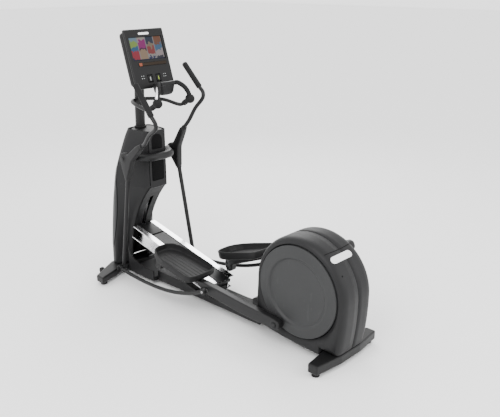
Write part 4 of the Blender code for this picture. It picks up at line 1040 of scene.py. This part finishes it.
def build_ramp():
    """Black blocks of painted shadow in the channels' upper ends, where the running surface is
    shaded under the tower, the step across the cover and the bolted bar at the ramp's low end.
    """
    c, s = cos(RAMP_SLOPE), sin(RAMP_SLOPE)

    def on_cover(x, run, depth):
        """run along the slope from the low end, depth up from the rails' top edge"""
        return x, 0.020 + run * c - depth * s, ramp_top(0.020) + run * s + depth * c

    step = box_outline(-0.0550, 0.0550, 0.690, 0.842, 0.006)
    piece("cover_raised_end", plate(step, -0.0040, 0.0015, 0.002, on_cover), "panel_black",
          "ramp")
    line = box_outline(-0.0550, 0.0550, 0.6840, 0.6890, 0.001)
    piece("cover_step_line", plate(line, -0.0040, -0.0032, 0.0002, on_cover), "groove", "ramp")
    bar = box_outline(-0.0622, 0.0622, -0.0105, 0.0150, 0.004)
    piece("ramp_low_bar", plate(bar, -0.0305, -0.0085, 0.003, on_cover), "casting_black",
          "ramp")
    # Black blocks in the rails' upper ends: painted shadow of the channels' running surface, shaded
    # under the tower's skirt.
    ends = []
    for sign in SIDES.values():
        x0, x1 = ordered(sign, 0.0625, 0.0900)
        ends.append(plate(box_outline(x0, x1, 0.800, 0.841, 0.002), -0.0885, -0.0065, 0.001,
                          on_cover))
    piece("rail_end_shadow_blocks", ends, "groove", "ramp")
    bolts = []
    for x in (-0.048, -0.018, 0.018, 0.048):
        a = np.linspace(0, 2 * pi, 20, endpoint=False)
        bolts.append(plate(np.stack([x + 0.005 * np.cos(a), 0.002 + 0.005 * np.sin(a)], 1),
                           -0.0088, -0.0060, 0.001, on_cover, 2))
    piece("ramp_bolts", bolts, "steel", "ramp")


def build_feet():
    """Levelling feet and small wheels, turned about their own axes."""
    for side in SIDES:
        for end in ("front", "rear"):
            node = f"{side}_{end}_foot"
            low, high = (np.array(v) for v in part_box(node))
            x, y = (low[0] + high[0]) / 2, (low[1] + high[1]) / 2
            r, h = np.array([(0.0005, 0.0), (0.0228, 0.0), (0.0238, 0.0010), (0.0236, 0.0030),
                             (0.0194, 0.0200), (0.0184, 0.0215), (0.0005, 0.0215)]).T
            a = np.linspace(0, 2 * pi, 48, endpoint=False)[None]
            grid = np.stack([x + r[:, None] * np.cos(a), y + r[:, None] * np.sin(a),
                             h[:, None] + 0 * a], -1)
            piece(f"{node}_pad", Shape(grid), "rubber", "frame", stands_for=(node,))
        node = f"{side}_transport_wheel"
        low, high = (np.array(v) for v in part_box(node))
        x, y, z = (low + high) / 2
        tyre = [(0.006, x + 0.0110), (0.023, x + 0.0110), (0.0254, x + 0.0090),
                (0.0260, x + 0.005), (0.0260, x - 0.005), (0.0254, x - 0.0090),
                (0.023, x - 0.0110), (0.006, x - 0.0110), (0.006, x + 0.0110)]
        piece(f"{side}_wheel_tyre", turned(tyre, (y, z), 1, 48), "rubber", f"{side}_wheel",
              stands_for=(node,))


def finish_frame():
    """Procedural finishes and softened edges on the frame's own nodes."""
    slots = {entry["node"]: entry["material_slot"] for entry in frame["record"]["subparts"]}
    soft = {"base_spine": 0.004, "rear_stabilizer": 0.0, "front_stabilizer": 0.0,
            "base_shroud": 0.004, "tower_rear_panel": 0.0015, "left_rail": 0.0006,
            "right_rail": 0.0006, "ramp_cover": 0.002}
    for name, node in frame["nodes"].items():
        made = finishes()[slots[name]].material
        if not node.material_slots:
            node.data.materials.append(made)
        for holder in node.material_slots:
            holder.material = made
        if soft.get(name):
            weld = node.modifiers.new("weld", "WELD")
            weld.merge_threshold = 0.00002
            edge = node.modifiers.new("edges", "BEVEL")
            edge.width = soft[name]
            edge.segments = 3
            edge.limit_method = "ANGLE"
            edge.angle_limit = radians(40)


def light(name, at, aim, energy, size):
    made = bpy.data.lights.new(name, "AREA")
    made.energy = energy
    made.shape = "DISK"
    made.size = size
    obj = bpy.data.objects.new(name, made)
    bpy.context.scene.collection.objects.link(obj)
    obj.location = at
    heading = np.asarray(aim, float) - np.asarray(at, float)
    yaw = np.arctan2(-heading[0], heading[1])
    pitch = np.arctan2(np.hypot(heading[0], heading[1]), -heading[2])
    obj.rotation_euler = (pitch, 0, yaw)
    return obj


def build_stage():
    """Pale floor, white surround, three soft lights and the camera."""
    stage = bpy.context.scene.trainer_stage
    half = stage.floor_size
    line = np.linspace(-half, half, 9)
    x, y = np.meshgrid(line, line)
    grid = np.stack([x, y, 0 * x - 0.0005], -1)
    shape = Shape(grid, around=False, ends=False)
    mesh = bpy.data.meshes.new("floor")
    mesh.from_pydata(shape.points.tolist(), [], shape.faces)
    mesh.materials.append(finishes()["floor"].material)
    floor = bpy.data.objects.new("floor", mesh)
    bpy.context.scene.collection.objects.link(floor)
    world = bpy.data.worlds.new("surround")
    world.use_nodes = True
    back = world.node_tree.nodes["Background"]
    back.inputs["Color"].default_value = (1.0, 1.0, 1.0, 1.0)
    back.inputs["Strength"].default_value = stage.world_level
    bpy.context.scene.world = world
    light("key", (-3.2, -1.2, 3.6), (0, 0, 0.8), 110, 2.2)
    light("fill", (1.0, -3.6, 2.2), (0, 0, 0.8), 45, 2.6)
    light("rim", (2.6, 2.4, 3.2), (0, 0, 0.9), 70, 2.0)
    data = bpy.data.cameras.new("view")
    data.sensor_width = 36.0
    data.lens = stage.lens
    camera = bpy.data.objects.new("view", data)
    camera.location = stage.camera_at
    camera.rotation_euler = stage.camera_turn
    bpy.context.scene.collection.objects.link(camera)
    bpy.context.scene.camera = camera


# ------------------------------------------------------------------ add-on

class TRAINER_OT_stage(bpy.types.Operator):
    """Set the floor, the soft lights and the camera"""
    bl_idname = "trainer.stage"
    bl_label = "Stage"

    def execute(self, context):
        build_stage()
        return {"FINISHED"}


class TRAINER_OT_frame(bpy.types.Operator):
    """Give the frame's own nodes their finishes and softened edges"""
    bl_idname = "trainer.frame"
    bl_label = "Frame finishes"

    def execute(self, context):
        finish_frame()
        return {"FINISHED"}


class TRAINER_OT_drum(bpy.types.Operator):
    """Build the drum's skins, seam, badge and screw"""
    bl_idname = "trainer.drum"
    bl_label = "Drum"

    def execute(self, context):
        build_drum()
        build_drum_marks()
        return {"FINISHED"}


class TRAINER_OT_discs(bpy.types.Operator):
    """Build the crank discs and their pins"""
    bl_idname = "trainer.discs"
    bl_label = "Crank discs"

    def execute(self, context):
        build_discs()
        return {"FINISHED"}


class TRAINER_OT_tower(bpy.types.Operator):
    """Build the tower's skins, accent panels, cap and windows"""
    bl_idname = "trainer.tower"
    bl_label = "Tower"

    def execute(self, context):
        build_tower()
        build_tower_trim()
        return {"FINISHED"}


class TRAINER_OT_yoke(bpy.types.Operator):
    """Build the yoke and the mast"""
    bl_idname = "trainer.yoke"
    bl_label = "Yoke and mast"

    def execute(self, context):
        build_yoke()
        return {"FINISHED"}


class TRAINER_OT_console(bpy.types.Operator):
    """Build the console with its screen, bar, levers and keys"""
    bl_idname = "trainer.console"
    bl_label = "Console"

    def execute(self, context):
        build_console()
        return {"FINISHED"}


class TRAINER_OT_fixed_bars(bpy.types.Operator):
    """Build the fixed handlebar, pulse grips and tray"""
    bl_idname = "trainer.fixed_bars"
    bl_label = "Fixed handlebar"

    def execute(self, context):
        build_fixed_bars()
        return {"FINISHED"}


class TRAINER_OT_handlebars(bpy.types.Operator):
    """Build the swinging handlebars and the curved rods"""
    bl_idname = "trainer.handlebars"
    bl_label = "Swinging handlebars"

    def execute(self, context):
        build_handlebars()
        return {"FINISHED"}


class TRAINER_OT_foot_arms(bpy.types.Operator):
    """Build the foot arms and their ramp wheels"""
    bl_idname = "trainer.foot_arms"
    bl_label = "Foot arms"

    def execute(self, context):
        build_foot_arms()
        return {"FINISHED"}


class TRAINER_OT_pedals(bpy.types.Operator):
    """Build the pedal trays and their ribs"""
    bl_idname = "trainer.pedals"
    bl_label = "Pedals"

    def execute(self, context):
        build_pedals()
        return {"FINISHED"}


class TRAINER_OT_ramp(bpy.types.Operator):
    """Build the ramp's raised cover end, the painted shadow blocks in its rails, the bar and the
    bolts
    """
    bl_idname = "trainer.ramp"
    bl_label = "Ramp details"

    def execute(self, context):
        build_ramp()
        return {"FINISHED"}


class TRAINER_OT_feet(bpy.types.Operator):
    """Build the levelling feet and the small wheels"""
    bl_idname = "trainer.feet"
    bl_label = "Feet and wheels"

    def execute(self, context):
        build_feet()
        return {"FINISHED"}


OPERATORS = (TRAINER_OT_stage, TRAINER_OT_frame, TRAINER_OT_drum, TRAINER_OT_discs,
             TRAINER_OT_tower, TRAINER_OT_yoke, TRAINER_OT_console, TRAINER_OT_fixed_bars,
             TRAINER_OT_handlebars, TRAINER_OT_foot_arms, TRAINER_OT_pedals, TRAINER_OT_ramp,
             TRAINER_OT_feet)


class TRAINER_PT_panel(bpy.types.Panel):
    """Lists the trainer's settings and pieces"""
    bl_idname = "TRAINER_PT_panel"
    bl_label = "Elliptical trainer"
    bl_space_type = "VIEW_3D"
    bl_region_type = "UI"
    bl_category = "Trainer"

    def draw(self, context):
        scene = context.scene
        for group in (scene.trainer_colours, scene.trainer_sizes, scene.trainer_stage):
            column = self.layout.column()
            for name in group.bl_rna.properties.keys():
                if name not in ("name", "rna_type"):
                    column.prop(group, name)
        for operator in OPERATORS:
            self.layout.operator(operator.bl_idname)


GROUPS = {"trainer_colours": TrainerColours, "trainer_sizes": TrainerSizes,
          "trainer_stage": TrainerStage}


def register():
    for name, group in GROUPS.items():
        bpy.utils.register_class(group)
        setattr(bpy.types.Scene, name, bpy.props.PointerProperty(type=group))
    for operator in OPERATORS:
        bpy.utils.register_class(operator)
    bpy.utils.register_class(TRAINER_PT_panel)


def unregister():
    bpy.utils.unregister_class(TRAINER_PT_panel)
    for operator in reversed(OPERATORS):
        bpy.utils.unregister_class(operator)
    for name, group in GROUPS.items():
        delattr(bpy.types.Scene, name)
        bpy.utils.unregister_class(group)


def main():
    register()
    bpy.ops.trainer.stage()
    bpy.ops.trainer.frame()
    bpy.ops.trainer.drum()
    bpy.ops.trainer.discs()
    bpy.ops.trainer.tower()
    bpy.ops.trainer.yoke()
    bpy.ops.trainer.console()
    bpy.ops.trainer.fixed_bars()
    bpy.ops.trainer.handlebars()
    bpy.ops.trainer.foot_arms()
    bpy.ops.trainer.pedals()
    bpy.ops.trainer.ramp()
    bpy.ops.trainer.feet()


if __name__ == "__main__":
    main()
